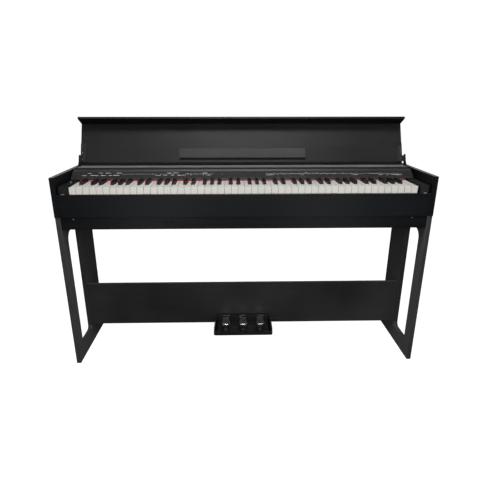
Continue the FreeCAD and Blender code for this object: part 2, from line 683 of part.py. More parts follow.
def pedal_housing():
    """Open tray with flared cheeks in front of a closed box with three slots."""
    wall = UNIT_WALL
    solid = prism_z(unit_footprint(0, UNIT_FRONT, SLOT_REAR), UNIT_BOTTOM, UNIT_TOP)
    solid = solid.makeFillet(UNIT_CORNER, [e for e in solid.Edges
                                           if e.BoundBox.ZMax < UNIT_BOTTOM + 0.01
                                           and e.BoundBox.YLength > 1])
    profile = [(UNIT_FRONT, UNIT_BOTTOM), (SLOT_REAR, UNIT_BOTTOM), (SLOT_REAR, UNIT_TOP),
               (UNIT_BOX_Y, UNIT_TOP), (UNIT_FRONT + 22, UNIT_TOP - 9),
               (UNIT_FRONT + 5, UNIT_LIP_TOP + 19), (UNIT_FRONT, UNIT_LIP_TOP)]
    far = UNIT_HALF_FRONT + 20
    solid = solid.common(prism_x(profile, UNIT_X - far, UNIT_X + far))
    tray = prism_z(unit_footprint(wall, UNIT_FRONT + wall, UNIT_BOX_Y), UNIT_BOTTOM + wall, UNIT_TOP + 1)
    mouth = prism_z(unit_footprint(wall, UNIT_FRONT - 1, UNIT_FRONT + wall + 1),
                    UNIT_LIP_TOP, UNIT_TOP + 1)
    inside = block(UNIT_X - ROD_REACH, UNIT_X + ROD_REACH, UNIT_BOX_Y + 3, SLOT_REAR - 2,
                   UNIT_BOTTOM + wall, UNIT_TOP - 3)
    housing = solid.cut(tray).cut(mouth).cut(inside)
    for x in pedal_centres():
        half = PEDAL_WIDTH_REAR / 2 + 1.0
        housing = housing.cut(block(x - half, x + half, UNIT_BOX_Y - 1, UNIT_BOX_Y + 4,
                                    PEDAL_TOP - PEDAL_PLATE - 4, PEDAL_TOP + 2.5))
    return housing


def pedal(x):
    """Flared metal pedal with a deep rounded nose."""
    rear = PEDAL_AXIS_Y + 5
    tip = PEDAL_WIDTH_TIP / 2
    tail = PEDAL_WIDTH_REAR / 2
    nose_y = PEDAL_TIP + 16
    neck_y = UNIT_BOX_Y - 20
    bottom = PEDAL_TOP - PEDAL_PLATE
    nose_z = PEDAL_TOP - PEDAL_NOSE
    side = [(PEDAL_TIP, nose_z), (nose_y, nose_z + 3), (nose_y + 8, bottom), (rear, bottom),
            (rear, PEDAL_TOP), (PEDAL_TIP, PEDAL_TOP)]
    plan = [(x - tip, PEDAL_TIP), (x + tip, PEDAL_TIP), (x + tip, nose_y), (x + tail, neck_y),
            (x + tail, rear), (x - tail, rear), (x - tail, neck_y), (x - tip, nose_y)]
    outline = prism_z(plan, nose_z - 5, PEDAL_TOP + 5)
    corners = [e for e in outline.Edges
               if e.BoundBox.YMax < PEDAL_TIP + 0.01 and e.BoundBox.ZLength > PEDAL_NOSE]
    outline = outline.makeFillet(PEDAL_CORNER, corners)
    shape = prism_x(side, x - tip - 5, x + tip + 5).common(outline)
    top_edges = [e for e in shape.Edges
                 if e.BoundBox.ZMin > PEDAL_TOP - 0.01 and e.BoundBox.YMax < UNIT_BOX_Y]
    shape = shape.makeFillet(PEDAL_EDGE, top_edges)
    hole = rod(PEDAL_ROD_R + RUNNING_FIT, V(x - tip, PEDAL_AXIS_Y, PEDAL_AXIS_Z),
               V(x + tip, PEDAL_AXIS_Y, PEDAL_AXIS_Z))
    return shape.cut(hole)


ROD_REACH = UNIT_HALF_REAR - 8.0
SPRING_WIRE_R = 0.8
SPRING_TURNS = 5
SPRING_LEG_OUT = 0.3            # the leg leaves the coil a little outside its middle line


def pedal_rod():
    return rod(PEDAL_ROD_R, V(UNIT_X - ROD_REACH, PEDAL_AXIS_Y, PEDAL_AXIS_Z),
               V(UNIT_X + ROD_REACH, PEDAL_AXIS_Y, PEDAL_AXIS_Z))


def pedal_springs():
    """Return spring beside each pedal: a wound coil on the rod with one leg."""
    springs = []
    coil_r = PEDAL_ROD_R + 0.4 + SPRING_WIRE_R
    for x in pedal_centres():
        start = x + PEDAL_WIDTH_REAR / 2 + 2
        turns = []
        for i in range(SPRING_TURNS):
            centre = V(start + 1.5 * SPRING_WIRE_R * i, PEDAL_AXIS_Y, PEDAL_AXIS_Z)
            turns.append(Part.makeTorus(coil_r, SPRING_WIRE_R, centre, V(1, 0, 0)))
        leg_y = PEDAL_AXIS_Y + coil_r + SPRING_LEG_OUT
        leg = rod(SPRING_WIRE_R, V(start, leg_y, PEDAL_AXIS_Z),
                  V(start, leg_y, UNIT_BOTTOM + UNIT_WALL))
        springs.append(fuse(turns + [leg]))
    return springs


def pedal_stop_pads():
    """Rubber pad on the tray floor under each pedal."""
    floor = UNIT_BOTTOM + UNIT_WALL
    front = UNIT_FRONT + 14
    half = PAD_WIDTH / 2
    return [block(x - half, x + half, front, front + PAD_DEPTH, floor, floor + PAD_HEIGHT)
            for x in pedal_centres()]


# ================================================================ electrics
GRILLE_T = 2.0
GRILLE_PITCH = 9.0


def speaker():
    """Downward-firing driver: flange, basket and magnet."""
    z = CASE_BOTTOM + CASE_WALL
    centre = V(SPEAKER_X, SPEAKER_Y, z)
    flange = Part.makeCylinder(SPEAKER_R + SPEAKER_FLANGE, 2, centre)
    basket = Part.makeCone(SPEAKER_R - 2, 24, 16, centre + V(0, 0, 1))
    magnet = Part.makeCylinder(28, 12, centre + V(0, 0, 16))
    cone = Part.makeCone(SPEAKER_R - 6, 14, 13, centre - V(0, 0, 0.5))
    return fuse([flange, basket, magnet]).cut(cone)


def speaker_grilles():
    grilles = []
    for x in (-SPEAKER_X, SPEAKER_X):
        disc = Part.makeCylinder(SPEAKER_R + 4, GRILLE_T, V(x, SPEAKER_Y, CASE_BOTTOM - GRILLE_T))
        for i in range(-4, 5):
            y = SPEAKER_Y + i * GRILLE_PITCH
            half = (CONE_R ** 2 - (i * GRILLE_PITCH) ** 2) ** 0.5 - 3
            disc = disc.cut(block(x - half, x + half, y - 2, y + 2,
                                  CASE_BOTTOM - GRILLE_T - 1, CASE_BOTTOM + 1))
        grilles.append(disc)
    return grilles


def headphone_jacks():
    jacks = []
    for x in JACK_X:
        barrel = rod(JACK_R, V(x, CASE_FRONT, JACK_Z), V(x, CASE_FRONT + 26, JACK_Z))
        body = block(x - 8, x + 8, CASE_FRONT + CASE_WALL, CASE_FRONT + 30, JACK_Z - 8, JACK_Z + 8)
        bore = rod(JACK_BORE_R, V(x, CASE_FRONT - 1, JACK_Z), V(x, CASE_FRONT + 24, JACK_Z))
        jacks.append(fuse([barrel, body]).cut(bore))
    return jacks


BOARD_X = (-220.0, 160.0)
BOARD_Y = (DEPTH - 98.0, DEPTH - 28.0)
SUPPLY_X = (260.0, 352.0)
SUPPLY_Y = (DEPTH - 100.0, DEPTH - 24.0)
SUPPLY_HEIGHT = 40.0


def main_board():
    """Circuit board on four posts with its chips."""
    under = KEYBED_TOP + 5
    board = block(BOARD_X[0], BOARD_X[1], BOARD_Y[0], BOARD_Y[1], under, under + 2)
    posts = [rod(3, V(x, y, KEYBED_TOP), V(x, y, under))
             for x in (BOARD_X[0] + 10, BOARD_X[1] - 10)
             for y in (BOARD_Y[0] + 8, BOARD_Y[1] - 8)]
    chips = [block(x, x + 24, BOARD_Y[0] + 24, BOARD_Y[0] + 48, under + 2, under + 5)
             for x in (-180, -90, 0, 90)]
    return fuse([board] + posts + chips)


def power_supply():
    case = block(SUPPLY_X[0], SUPPLY_X[1], SUPPLY_Y[0], SUPPLY_Y[1],
                 KEYBED_TOP, KEYBED_TOP + SUPPLY_HEIGHT)
    return round_edges(case, 4.0, V(0, 0, 1))


def jack_plate():
    """Rear plate with the power inlet and the pedal socket."""
    plate = block(INLET_X[0] - 6, INLET_X[1] + 6, REAR_FACE, DEPTH, INLET_Z[0] - 6, INLET_Z[1] + 6)
    middle = (INLET_Z[0] + INLET_Z[1]) / 2
    jack = plate
    for x in (412, 468):
        jack = fuse([jack, block(x - 12, x + 12, REAR_FACE - 18, REAR_FACE + 1,
                                 middle - 12, middle + 12)])
    for x, radius in ((412, 4.0), (468, 6.0)):
        jack = jack.cut(rod(radius, V(x, DEPTH + 1, middle), V(x, REAR_FACE - 14, middle)))
    return jack


# ================================================================ fixings
BOLT_IN = (64.0, 73.0)         # bolts in from the left and right ends
BOLT_R = 2.8
BOLT_RISE = 1.8
BRACKET = 30.0
BRACKET_T = 3.0
SCREW_R = 4.0
SCREW_RISE = 2.5
PANEL_SCREW_R = 3.5
PANEL_SCREW_RISE = 1.8
PANEL_SCREWS = 7


def case_bolts():
    """Bolts that show on the front of the lower case."""
    z = SIDE_BOTTOM - 6.5
    return [rod(BOLT_R, V(x, CASE_FRONT - BOLT_RISE, z), V(x, CASE_FRONT, z))
            for x in (BOLT_IN[0] - HALF, HALF - BOLT_IN[1])]


def bracket_heights():
    return (BACKBOARD_BOTTOM + 25, BACKBOARD_TOP - 55)


def corner_brackets():
    """Angle brackets behind the backboard, one pair at each leg."""
    rear = SLOT_REAR + BOARD_T
    brackets = []
    for z in bracket_heights():
        on_board = block(INNER - BRACKET, INNER, rear, rear + BRACKET_T, z, z + BRACKET)
        on_leg = block(INNER - BRACKET_T, INNER, rear, rear + BRACKET + BRACKET_T, z, z + BRACKET)
        angle = fuse([on_board, on_leg])
        brackets += [angle, mirrored(angle)]
    return brackets


def cabinet_screws():
    """Screws of the brackets and of the rear panel."""
    screws = []
    rear = SLOT_REAR + BOARD_T + BRACKET_T
    for low in bracket_heights():
        z = low + BRACKET / 2
        for side in (-1, 1):
            x = side * (INNER - 18)
            screws.append(rod(SCREW_R, V(x, rear, z), V(x, rear + SCREW_RISE, z)))
            x = side * (INNER - BRACKET_T)
            screws.append(rod(SCREW_R, V(x, rear + 18, z), V(x - side * SCREW_RISE, rear + 18, z)))
    step = (2 * INNER - 60) / (PANEL_SCREWS - 1)
    for i in range(PANEL_SCREWS):
        x = 30 - INNER + step * i
        for z in (SIDE_BOTTOM + 10, HEIGHT - BOARD_T - 10):
            screws.append(rod(PANEL_SCREW_R, V(x, REAR_FACE, z),
                              V(x, REAR_FACE + PANEL_SCREW_RISE, z)))
    return screws


# ================================================================ build
def build():
    save("side_board_right", side_board())
    save("side_board_left", mirrored(side_board()))
    save("leg_frame_right", leg_frame())
    save("leg_frame_left", mirrored(leg_frame()))
    save("backboard", backboard())
    save("front_rail", front_rail())
    save("keybed_board", keybed_board())
    save("lower_case", lower_case())
    save("rear_panel", rear_panel())
    save("top_board", top_board())
    save("key_block_left", key_block(True))
    save("key_block_right", key_block(False))
    save("power_button", power_button())
    save("volume_slider", volume_slider())
    save("control_panel", control_panel())
    save("key_felt", key_felt())
    save("lid_cushions", *lid_cushions())
    build_keys()
    save("key_frame", key_frame())
    save("key_pivot_rod", key_pivot_rod())
    save("key_contacts", *key_contacts())
    save("lid_panel", lid_panel())
    save("lid_lip", lid_lip())
    save("lid_arm_right", lid_arm(PANEL_RIGHT))
    save("lid_arm_left", mirrored(lid_arm(-PANEL_LEFT)))
    save("lid_screws", *lid_screws())
    save("music_ledge", music_ledge())
    save("ledge_hinges", ledge_hinges())
    save("pedal_housing", pedal_housing())
    left, centre, right = pedal_centres()
    save("pedal_soft", pedal(left))
    save("pedal_sostenuto", pedal(centre))
    save("pedal_damper", pedal(right))
    save("pedal_rod", pedal_rod())
    save("pedal_springs", *pedal_springs())
    save("pedal_stop_pads", *pedal_stop_pads())
    save("speaker_right", speaker())
    save("speaker_left", mirrored(speaker()))
    save("speaker_grilles", *speaker_grilles())
    save("headphone_jacks", *headphone_jacks())
    save("main_board", main_board())
    save("power_supply", power_supply())
    save("jack_plate", jack_plate())
    save("case_bolts", *case_bolts())
    save("corner_brackets", *corner_brackets())
    save("cabinet_screws", *cabinet_screws())


build()
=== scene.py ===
from math import cos, pi, radians, sin

import bmesh
import bpy
from bpy.props import FloatProperty, FloatVectorProperty, PointerProperty
from mathutils import Matrix, Vector


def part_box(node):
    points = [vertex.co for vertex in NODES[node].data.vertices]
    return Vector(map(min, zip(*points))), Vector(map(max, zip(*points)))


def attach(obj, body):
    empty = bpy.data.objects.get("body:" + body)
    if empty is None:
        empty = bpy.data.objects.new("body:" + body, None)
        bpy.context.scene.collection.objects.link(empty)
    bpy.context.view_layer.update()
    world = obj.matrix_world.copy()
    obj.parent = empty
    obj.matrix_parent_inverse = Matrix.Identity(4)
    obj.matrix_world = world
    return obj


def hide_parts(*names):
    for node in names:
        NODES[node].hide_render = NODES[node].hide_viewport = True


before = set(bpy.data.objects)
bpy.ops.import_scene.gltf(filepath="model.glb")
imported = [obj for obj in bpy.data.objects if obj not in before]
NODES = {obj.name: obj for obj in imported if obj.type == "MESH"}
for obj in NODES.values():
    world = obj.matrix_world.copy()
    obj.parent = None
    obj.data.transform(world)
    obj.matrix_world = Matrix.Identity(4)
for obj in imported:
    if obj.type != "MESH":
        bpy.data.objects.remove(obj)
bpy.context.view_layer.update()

# The looks of a digital piano on its stand.  Metres, +X towards the treble end,
# the player on the -Y side.  Every place comes from the boxes of the fixed frame.

bl_info = {
    "name": "Digital piano looks",
    "version": (1, 0, 0),
    "blender": (4, 5, 0),
    "location": "3D View > Sidebar > Piano",
    "description": "Finishes, small fittings and studio for a slim digital piano on a stand",
    "category": "Object",
}

MM = 0.001

# ---------------------------------------------------------------- what is where
SIDE_BOARDS = ("side_board_left", "side_board_right")
LEG_FRAMES = ("leg_frame_left", "leg_frame_right")
WHITE_KEYS = ("white_keys_bass", "white_keys_treble", "key_c4", "key_d4", "key_e4",
              "key_f4", "key_g4", "key_a4", "key_b4")
BLACK_KEYS = ("black_keys_bass", "black_keys_treble", "key_c_sharp4", "key_d_sharp4",
              "key_f_sharp4", "key_g_sharp4", "key_a_sharp4")
PEDALS = ("pedal_soft", "pedal_sostenuto", "pedal_damper")
LID_ARMS = ("lid_arm_left", "lid_arm_right")

# ---------------------------------------------------------------- fittings
WHITE_PITCH = 23.6 * MM
LID_TILT = radians(26.57)      # open lid leans back from upright
PANEL_LIP_RISE = 5.0 * MM      # upright strip under the sloping face
PANEL_FACE_RUN = 34.0 * MM
PANEL_FACE_DROP = 7.0 * MM     # from the panel's top down to the end of the face
LID_SCREW_R = 2.3 * MM
LID_SCREW_RISE = 1.2 * MM
LID_SCREW_STEPS = (0.0, 25.5 * MM, 50.5 * MM)
BOARD_SCREW_R = 4.0 * MM
PANEL_SCREW_R = 3.5 * MM
PANEL_SCREW_IN = 30.0 * MM     # outer rear screws in from the panel's ends
CASE_BOLT_R = 2.8 * MM
PAD_WIDTH = 18.0 * MM


# ================================================================ node finishes
class Finish:
    """A procedural finish: one principled shader, and short calls that add nodes to it."""

    def __init__(self, name, colour, roughness, **settings):
        self.material = bpy.data.materials.new(name)
        self.material.use_nodes = True
        self.tree = self.material.node_tree
        self.shader = self.tree.nodes["Principled BSDF"]
        self.shader.inputs["Base Color"].default_value = (*colour, 1.0)
        self.shader.inputs["Roughness"].default_value = roughness
        for socket, value in settings.items():
            self.shader.inputs[socket.replace("_", " ")].default_value = value
        self.place = self.tree.nodes.new("ShaderNodeTexCoord").outputs["Object"]

    def stretched(self, scale):
        """Object coordinates, scaled on each axis."""
        mapping = self.tree.nodes.new("ShaderNodeMapping")
        mapping.inputs["Scale"].default_value = scale
        self.tree.links.new(self.place, mapping.inputs["Vector"])
        return mapping.outputs["Vector"]

    def noise(self, scale, detail=4.0, rough=0.5, distortion=0.0):
        """Cloudy value from 0 to 1; scale is features per metre on each axis."""
        node = self.tree.nodes.new("ShaderNodeTexNoise")
        node.inputs["Scale"].default_value = 1.0
        node.inputs["Detail"].default_value = detail
        node.inputs["Roughness"].default_value = rough
        node.inputs["Distortion"].default_value = distortion
        self.tree.links.new(self.stretched(scale), node.inputs["Vector"])
        return node.outputs["Fac"]

    def cells(self, scale, feature="F1"):
        """Distance inside a pattern of cells, for pebbled or chipped surfaces."""
        node = self.tree.nodes.new("ShaderNodeTexVoronoi")
        node.feature = feature
        node.inputs["Scale"].default_value = 1.0
        self.tree.links.new(self.stretched(scale), node.inputs["Vector"])
        return node.outputs["Distance"]

    def edges(self, low, high):
        """1 where the surface is sharply convex, 0 on flats."""
        geometry = self.tree.nodes.new("ShaderNodeNewGeometry")
        return self.remap(geometry.outputs["Pointiness"], low, high, 0.0, 1.0)

    def remap(self, value, low, high, start, end):
        """value from low..high becomes start..end, held at both ends."""
        node = self.tree.nodes.new("ShaderNodeMapRange")
        self.tree.links.new(value, node.inputs["Value"])
        node.inputs["From Min"].default_value = low
        node.inputs["From Max"].default_value = high
        node.inputs["To Min"].default_value = start
        node.inputs["To Max"].default_value = end
        return node.outputs["Result"]

    def combine(self, operation, first, second):
        """Arithmetic on two values; the second may be a number."""
        node = self.tree.nodes.new("ShaderNodeMath")
        node.operation = operation
        self.tree.links.new(first, node.inputs[0])
        if isinstance(second, float):
            node.inputs[1].default_value = second
        else:
            self.tree.links.new(second, node.inputs[1])
        return node.outputs["Value"]

    def colours(self, value, *stops):
        """Base colour along a ramp of (position, colour) stops."""
        ramp = self.tree.nodes.new("ShaderNodeValToRGB")
        elements = ramp.color_ramp.elements
        while len(elements) < len(stops):
            elements.new(0.5)
        for element, (position, colour) in zip(elements, stops):
            element.position = position
            element.color = (*colour, 1.0)
        self.tree.links.new(value, ramp.inputs["Fac"])
        self.tree.links.new(ramp.outputs["Color"], self.shader.inputs["Base Color"])
        return ramp.outputs["Color"]

    def lighter(self, colour, value, tint):
        """Mix the tint into a colour by value, and use the result as base colour."""
        mix = self.tree.nodes.new("ShaderNodeMix")
        mix.data_type = "RGBA"
        self.tree.links.new(value, mix.inputs["Factor"])
        self.tree.links.new(colour, mix.inputs[6])
        mix.inputs[7].default_value = (*tint, 1.0)
        self.tree.links.new(mix.outputs[2], self.shader.inputs["Base Color"])
        return mix.outputs[2]

    def normal_parts(self):
        """X, Y and Z of the surface direction in the piece's own axes."""
        split = self.tree.nodes.new("ShaderNodeSeparateXYZ")
        self.tree.links.new(self.tree.nodes.new("ShaderNodeTexCoord").outputs["Normal"],
                            split.inputs["Vector"])
        return split.outputs

    def upward(self, amount):
        """amount on level upward faces, patchy, and 0 on every other face."""
        level = self.remap(self.normal_parts()["Z"], 0.93, 0.98, 0.0, 1.0)
        patches = self.remap(self.noise((9.0, 30.0, 30.0), detail=5.0), 0.3, 0.7,
                             amount * 0.7, amount)
        return self.combine("MULTIPLY", level, patches)

    def flanks(self):
        """1 on faces that look along X, 0 on every other face."""
        across = self.normal_parts()["X"]
        squared = self.combine("MULTIPLY", across, across)
        return self.remap(squared, 0.80, 0.94, 0.0, 1.0)

    def roughness(self, value, low, high):
        """Roughness that follows a value from 0 to 1."""
        self.tree.links.new(self.remap(value, 0.2, 0.8, low, high), self.shader.inputs["Roughness"])

    def bump(self, value, depth, strength=1.0):
        """Relief of the given depth in metres."""
        node = self.tree.nodes.new("ShaderNodeBump")
        node.inputs["Distance"].default_value = depth
        node.inputs["Strength"].default_value = strength
        self.tree.links.new(value, node.inputs["Height"])
        self.tree.links.new(node.outputs["Normal"], self.shader.inputs["Normal"])


def grain_scale(along, long_way, across):
    """Feature density stretched along one axis: 0, 1 or 2."""
    scale = [across, across, across]
    scale[along] = long_way
    return tuple(scale)


def shade(colour, factor):
    return tuple(min(1.0, channel * factor) for channel in colour)


PAINTED_TOP_LIGHT = (0.29, 0.272, 0.255)      # painted light on level tops
PAINTED_SIDE_LIGHT = (0.16, 0.16, 0.163)       # painted light on the sides of the leg frames


def laminate(name, colour, along, sheen, dust_and_top_light=0.0, specular=0.22, side_light=0.0):
    """Printed laminate: short pores in a streaky figure, satin, paler on the edges from rubbing and a
    painted edge highlight, with optional painted light on level tops and on the sides.
    """
    finish = Finish(name, colour, sheen, Specular_IOR_Level=specular)
    pores = finish.noise(grain_scale(along, 14.0, 620.0), detail=3.0, rough=0.6)
    figure = finish.noise(grain_scale(along, 4.0, 260.0), detail=5.0, distortion=0.3)
    cloud = finish.noise((3.0, 3.0, 3.0), detail=2.0)
    streaks = finish.combine("MULTIPLY", pores, figure)
    base = finish.colours(streaks, (0.12, shade(colour, 0.72)), (0.26, colour),
                          (0.42, shade(colour, 1.35)))
    # paler on sharp edges: rubbing wear and a painted edge highlight
    rub_and_highlight = finish.combine("MULTIPLY", finish.edges(0.52, 0.60), finish.remap(cloud, 0.35, 0.7, 0.1, 0.5))
    worn_and_lit = finish.lighter(base, rub_and_highlight, shade(colour, 5.0))
    # painted light: level upward faces are made paler in patches
    if dust_and_top_light:
        worn_and_lit = finish.lighter(worn_and_lit, finish.upward(dust_and_top_light), PAINTED_TOP_LIGHT)
    # painted light: faces that look along X are made paler
    if side_light:
        finish.lighter(worn_and_lit, finish.combine("MULTIPLY", finish.flanks(), side_light), PAINTED_SIDE_LIGHT)
    finish.roughness(finish.combine("ADD", figure, finish.remap(pores, 0.3, 0.7, -0.2, 0.2)),
                     sheen - 0.08, sheen + 0.10)
    finish.bump(streaks, 0.00012)
    return finish.material


def moulded_plastic(name, colour, sheen, specular=0.35):
    """Black moulded plastic with a fine spark-eroded texture and faint flow clouds."""
    finish = Finish(name, colour, sheen, Specular_IOR_Level=specular)
    spark = finish.noise((2600.0, 2600.0, 2600.0), detail=2.0)
    cloud = finish.noise((9.0, 30.0, 30.0), detail=4.0)
    base = finish.colours(cloud, (0.3, shade(colour, 0.85)), (0.7, shade(colour, 1.15)))
    finish.lighter(base, finish.combine("MULTIPLY", finish.edges(0.53, 0.62), 0.35),
                   shade(colour, 4.0))
    finish.roughness(cloud, sheen - 0.05, sheen + 0.05)
    finish.bump(spark, 0.00006)
    return finish.material


def painted_metal(name, colour, sheen):
    """Black powder coat: orange-peel skin, thin on the edges."""
    finish = Finish(name, colour, sheen, Specular_IOR_Level=0.4)
    peel = finish.noise((700.0, 700.0, 700.0), detail=2.0)
    cloud = finish.noise((25.0, 25.0, 25.0), detail=3.0)
    base = finish.colours(cloud, (0.3, shade(colour, 0.8)), (0.75, shade(colour, 1.3)))
    finish.lighter(base, finish.combine("MULTIPLY", finish.edges(0.54, 0.64), 0.5), (0.09, 0.09, 0.09))
    finish.roughness(cloud, sheen - 0.06, sheen + 0.06)
    finish.bump(peel, 0.00010)
    return finish.material


def plated_steel(name, colour, sheen):
    """Bright zinc plate with fine turning marks and dull patches."""
    finish = Finish(name, colour, sheen, Metallic=1.0)
    turning = finish.noise((400.0, 4000.0, 4000.0), detail=2.0)
    patch = finish.noise((120.0, 120.0, 120.0), detail=4.0)
    finish.colours(patch, (0.3, shade(colour, 0.8)), (0.7, colour))
    finish.roughness(patch, sheen - 0.08, sheen + 0.14)
    finish.bump(turning, 0.00003)
    return finish.material


def satin_chrome(name, colour, sheen):
    """Pedal metal: polished along its length, hazier where a shoe rubs it."""
    finish = Finish(name, colour, sheen, Metallic=1.0)
    polish = finish.noise((1800.0, 60.0, 600.0), detail=3.0)
    haze = finish.noise((45.0, 45.0, 45.0), detail=4.0)
    finish.colours(haze, (0.3, shade(colour, 0.86)), (0.7, colour))
    finish.roughness(finish.combine("ADD", haze, finish.remap(polish, 0.3, 0.7, -0.15, 0.15)),
                     sheen - 0.05, sheen + 0.12)
    finish.bump(polish, 0.000004)
    return finish.material


KEY_GAP_SHADE = (0.25, 0.17, 0.12)   # painted shade on the key sides seen in the gaps


def white_key_plastic(name, colour):
    """Warm white key tops: semi-gloss, a little unevenly toned, played dull near the front."""
    finish = Finish(name, colour, 0.34, Specular_IOR_Level=0.45, Coat_Weight=0.12, Coat_Roughness=0.2)
    tone = finish.noise((30.0, 4.0, 4.0), detail=2.0)
    touch = finish.noise((60.0, 90.0, 60.0), detail=5.0)
    grain = finish.noise((1600.0, 120.0, 1600.0), detail=3.0)
    base = finish.colours(tone, (0.32, shade(colour, 0.965)), (0.68, colour))
    # painted shade: sides that face the next key are darkened brown
    finish.lighter(base, finish.flanks(), KEY_GAP_SHADE)
    finish.roughness(touch, 0.26, 0.42)
    finish.bump(grain, 0.00003)
    return finish.material


def black_key_plastic(name, colour):
    """Black sharps: satin tops with faint lengthwise lines, polished by fingers."""
    finish = Finish(name, colour, 0.44, Specular_IOR_Level=0.3)
    lines = finish.noise((900.0, 30.0, 900.0), detail=3.0)
    touch = finish.noise((50.0, 80.0, 50.0), detail=5.0)
    finish.colours(lines, (0.3, shade(colour, 0.7)), (0.7, shade(colour, 1.3)))
    finish.roughness(touch, 0.38, 0.54)
    finish.bump(lines, 0.00005)
    return finish.material


def wool_felt(name, colour):
    """Pressed wool: tangled fibres, matt, with a pale bloom at grazing light."""
    finish = Finish(name, colour, 0.95, Specular_IOR_Level=0.1, Sheen_Weight=0.35, Sheen_Roughness=0.5)
    fibres = finish.noise((900.0, 1600.0, 1600.0), detail=6.0, rough=0.7, distortion=1.2)
    lumps = finish.noise((160.0, 160.0, 160.0), detail=3.0)
    mixed = finish.combine("ADD", finish.combine("MULTIPLY", fibres, 0.6),
                           finish.combine("MULTIPLY", lumps, 0.4))
    finish.colours(mixed, (0.32, shade(colour, 0.45)), (0.5, colour), (0.68, shade(colour, 1.5)))
    finish.roughness(mixed, 0.88, 1.0)
    finish.bump(fibres, 0.0004)
    return finish.material


def soft_rubber(name, colour):
    """Soft moulded rubber, dusty and faintly pebbled."""
    finish = Finish(name, colour, 0.7, Specular_IOR_Level=0.3)
    pebble = finish.cells((900.0, 900.0, 900.0))
    dust_and_top_light = finish.noise((200.0, 200.0, 200.0), detail=5.0)
    finish.colours(dust_and_top_light, (0.3, shade(colour, 0.75)), (0.7, shade(colour, 1.15)))
    finish.roughness(dust_and_top_light, 0.6, 0.85)
    finish.bump(pebble, 0.00012)
    return finish.material


def chipboard(name, colour):
    """Raw particle board: pressed chips of several browns, open and rough."""
    finish = Finish(name, colour, 0.85, Specular_IOR_Level=0.2)
    chips = finish.cells((260.0, 260.0, 420.0))
    fines = finish.noise((900.0, 900.0, 900.0), detail=5.0)
    mixed = finish.combine("MULTIPLY", chips, finish.remap(fines, 0.2, 0.8, 0.7, 1.3))
    finish.colours(mixed, (0.1, shade(colour, 1.25)), (0.4, colour), (0.75, shade(colour, 0.5)))
    finish.roughness(fines, 0.78, 0.95)
    finish.bump(mixed, 0.0004)
    return finish.material


def solder_mask(name, colour):
    """Green circuit board: square copper runs seen through the lacquer."""
    finish = Finish(name, colour, 0.35, Specular_IOR_Level=0.5)
    tracks = finish.tree.nodes.new("ShaderNodeTexBrick")
    tracks.inputs["Scale"].default_value = 1.0
    tracks.inputs["Mortar Size"].default_value = 0.06
    tracks.inputs["Color1"].default_value = (0.2, 0.2, 0.2, 1.0)
    tracks.inputs["Color2"].default_value = (0.6, 0.6, 0.6, 1.0)
    tracks.inputs["Mortar"].default_value = (1.0, 1.0, 1.0, 1.0)
    finish.tree.links.new(finish.stretched((120.0, 160.0, 160.0)), tracks.inputs["Vector"])
    speckle = finish.noise((500.0, 500.0, 500.0), detail=3.0)
    finish.colours(tracks.outputs["Color"], (0.1, shade(colour, 0.7)), (0.6, colour),
                   (1.0, shade(colour, 1.9)))
    finish.roughness(speckle, 0.28, 0.45)
    finish.bump(tracks.outputs["Fac"], 0.0001)
    return finish.material


def paper_cone(name, colour):
    """Pressed black paper of a loudspeaker: matt and fibrous."""
    finish = Finish(name, colour, 0.8, Specular_IOR_Level=0.25)
    pulp = finish.noise((700.0, 700.0, 700.0), detail=6.0, distortion=0.8)
    finish.colours(pulp, (0.3, shade(colour, 0.6)), (0.7, shade(colour, 1.4)))
    finish.roughness(pulp, 0.7, 0.9)
    finish.bump(pulp, 0.0002)
    return finish.material


def printed_ink(name, colour):
    """Pale screen-printed ink, a little thin in places."""
    finish = Finish(name, colour, 0.6)
    thin = finish.noise((900.0, 900.0, 900.0), detail=3.0)
    finish.colours(thin, (0.3, shade(colour, 0.7)), (0.6, colour))
    finish.roughness(thin, 0.5, 0.7)
    finish.bump(thin, 0.00002)
    return finish.material


def lamp_lens(name, colour, glow):
    """Small clear lens over a light; the glow sits in its middle."""
    finish = Finish(name, colour, 0.25, Emission_Strength=glow, Coat_Weight=0.5)
    frost = finish.noise((1500.0, 1500.0, 1500.0), detail=3.0)
    finish.shader.inputs["Emission Color"].default_value = (*colour, 1.0)
    finish.colours(frost, (0.3, shade(colour, 0.7)), (0.7, colour))
    finish.roughness(frost, 0.2, 0.35)
    finish.bump(frost, 0.00003)
    return finish.material


def studio_paper(name, colour, glow):
    """Seamless back-lit background paper, very faintly mottled."""
    finish = Finish(name, colour, 0.9, Specular_IOR_Level=0.1, Emission_Strength=glow)
    finish.shader.inputs["Emission Color"].default_value = (1.0, 1.0, 1.0, 1.0)
    mottle = finish.noise((2.0, 2.0, 2.0), detail=4.0)
    finish.colours(mottle, (0.3, shade(colour, 0.985)), (0.7, colour))
    finish.roughness(mottle, 0.88, 0.96)
    finish.bump(mottle, 0.0002)
    return finish.material


# ================================================================ making pieces
def paint(node, material):
    """Give a fixed part its finish."""
    slots = NODES[node].material_slots
    for slot in slots:
        slot.material = material


def soften(node, width, segments=2, angle=38.0):
    """Join the part's split corners and round its sharp edges."""
    weld = NODES[node].modifiers.new("Join corners", "WELD")
    weld.merge_threshold = 0.00001
    edge = NODES[node].modifiers.new("Soft edges", "BEVEL")
    edge.width = width
    edge.segments = segments
    edge.limit_method = "ANGLE"
    edge.angle_limit = radians(angle)
    edge.harden_normals = True


def finished(nodes, material, width, segments=2):
    for node in nodes:
        paint(node, material)
        soften(node, width, segments)


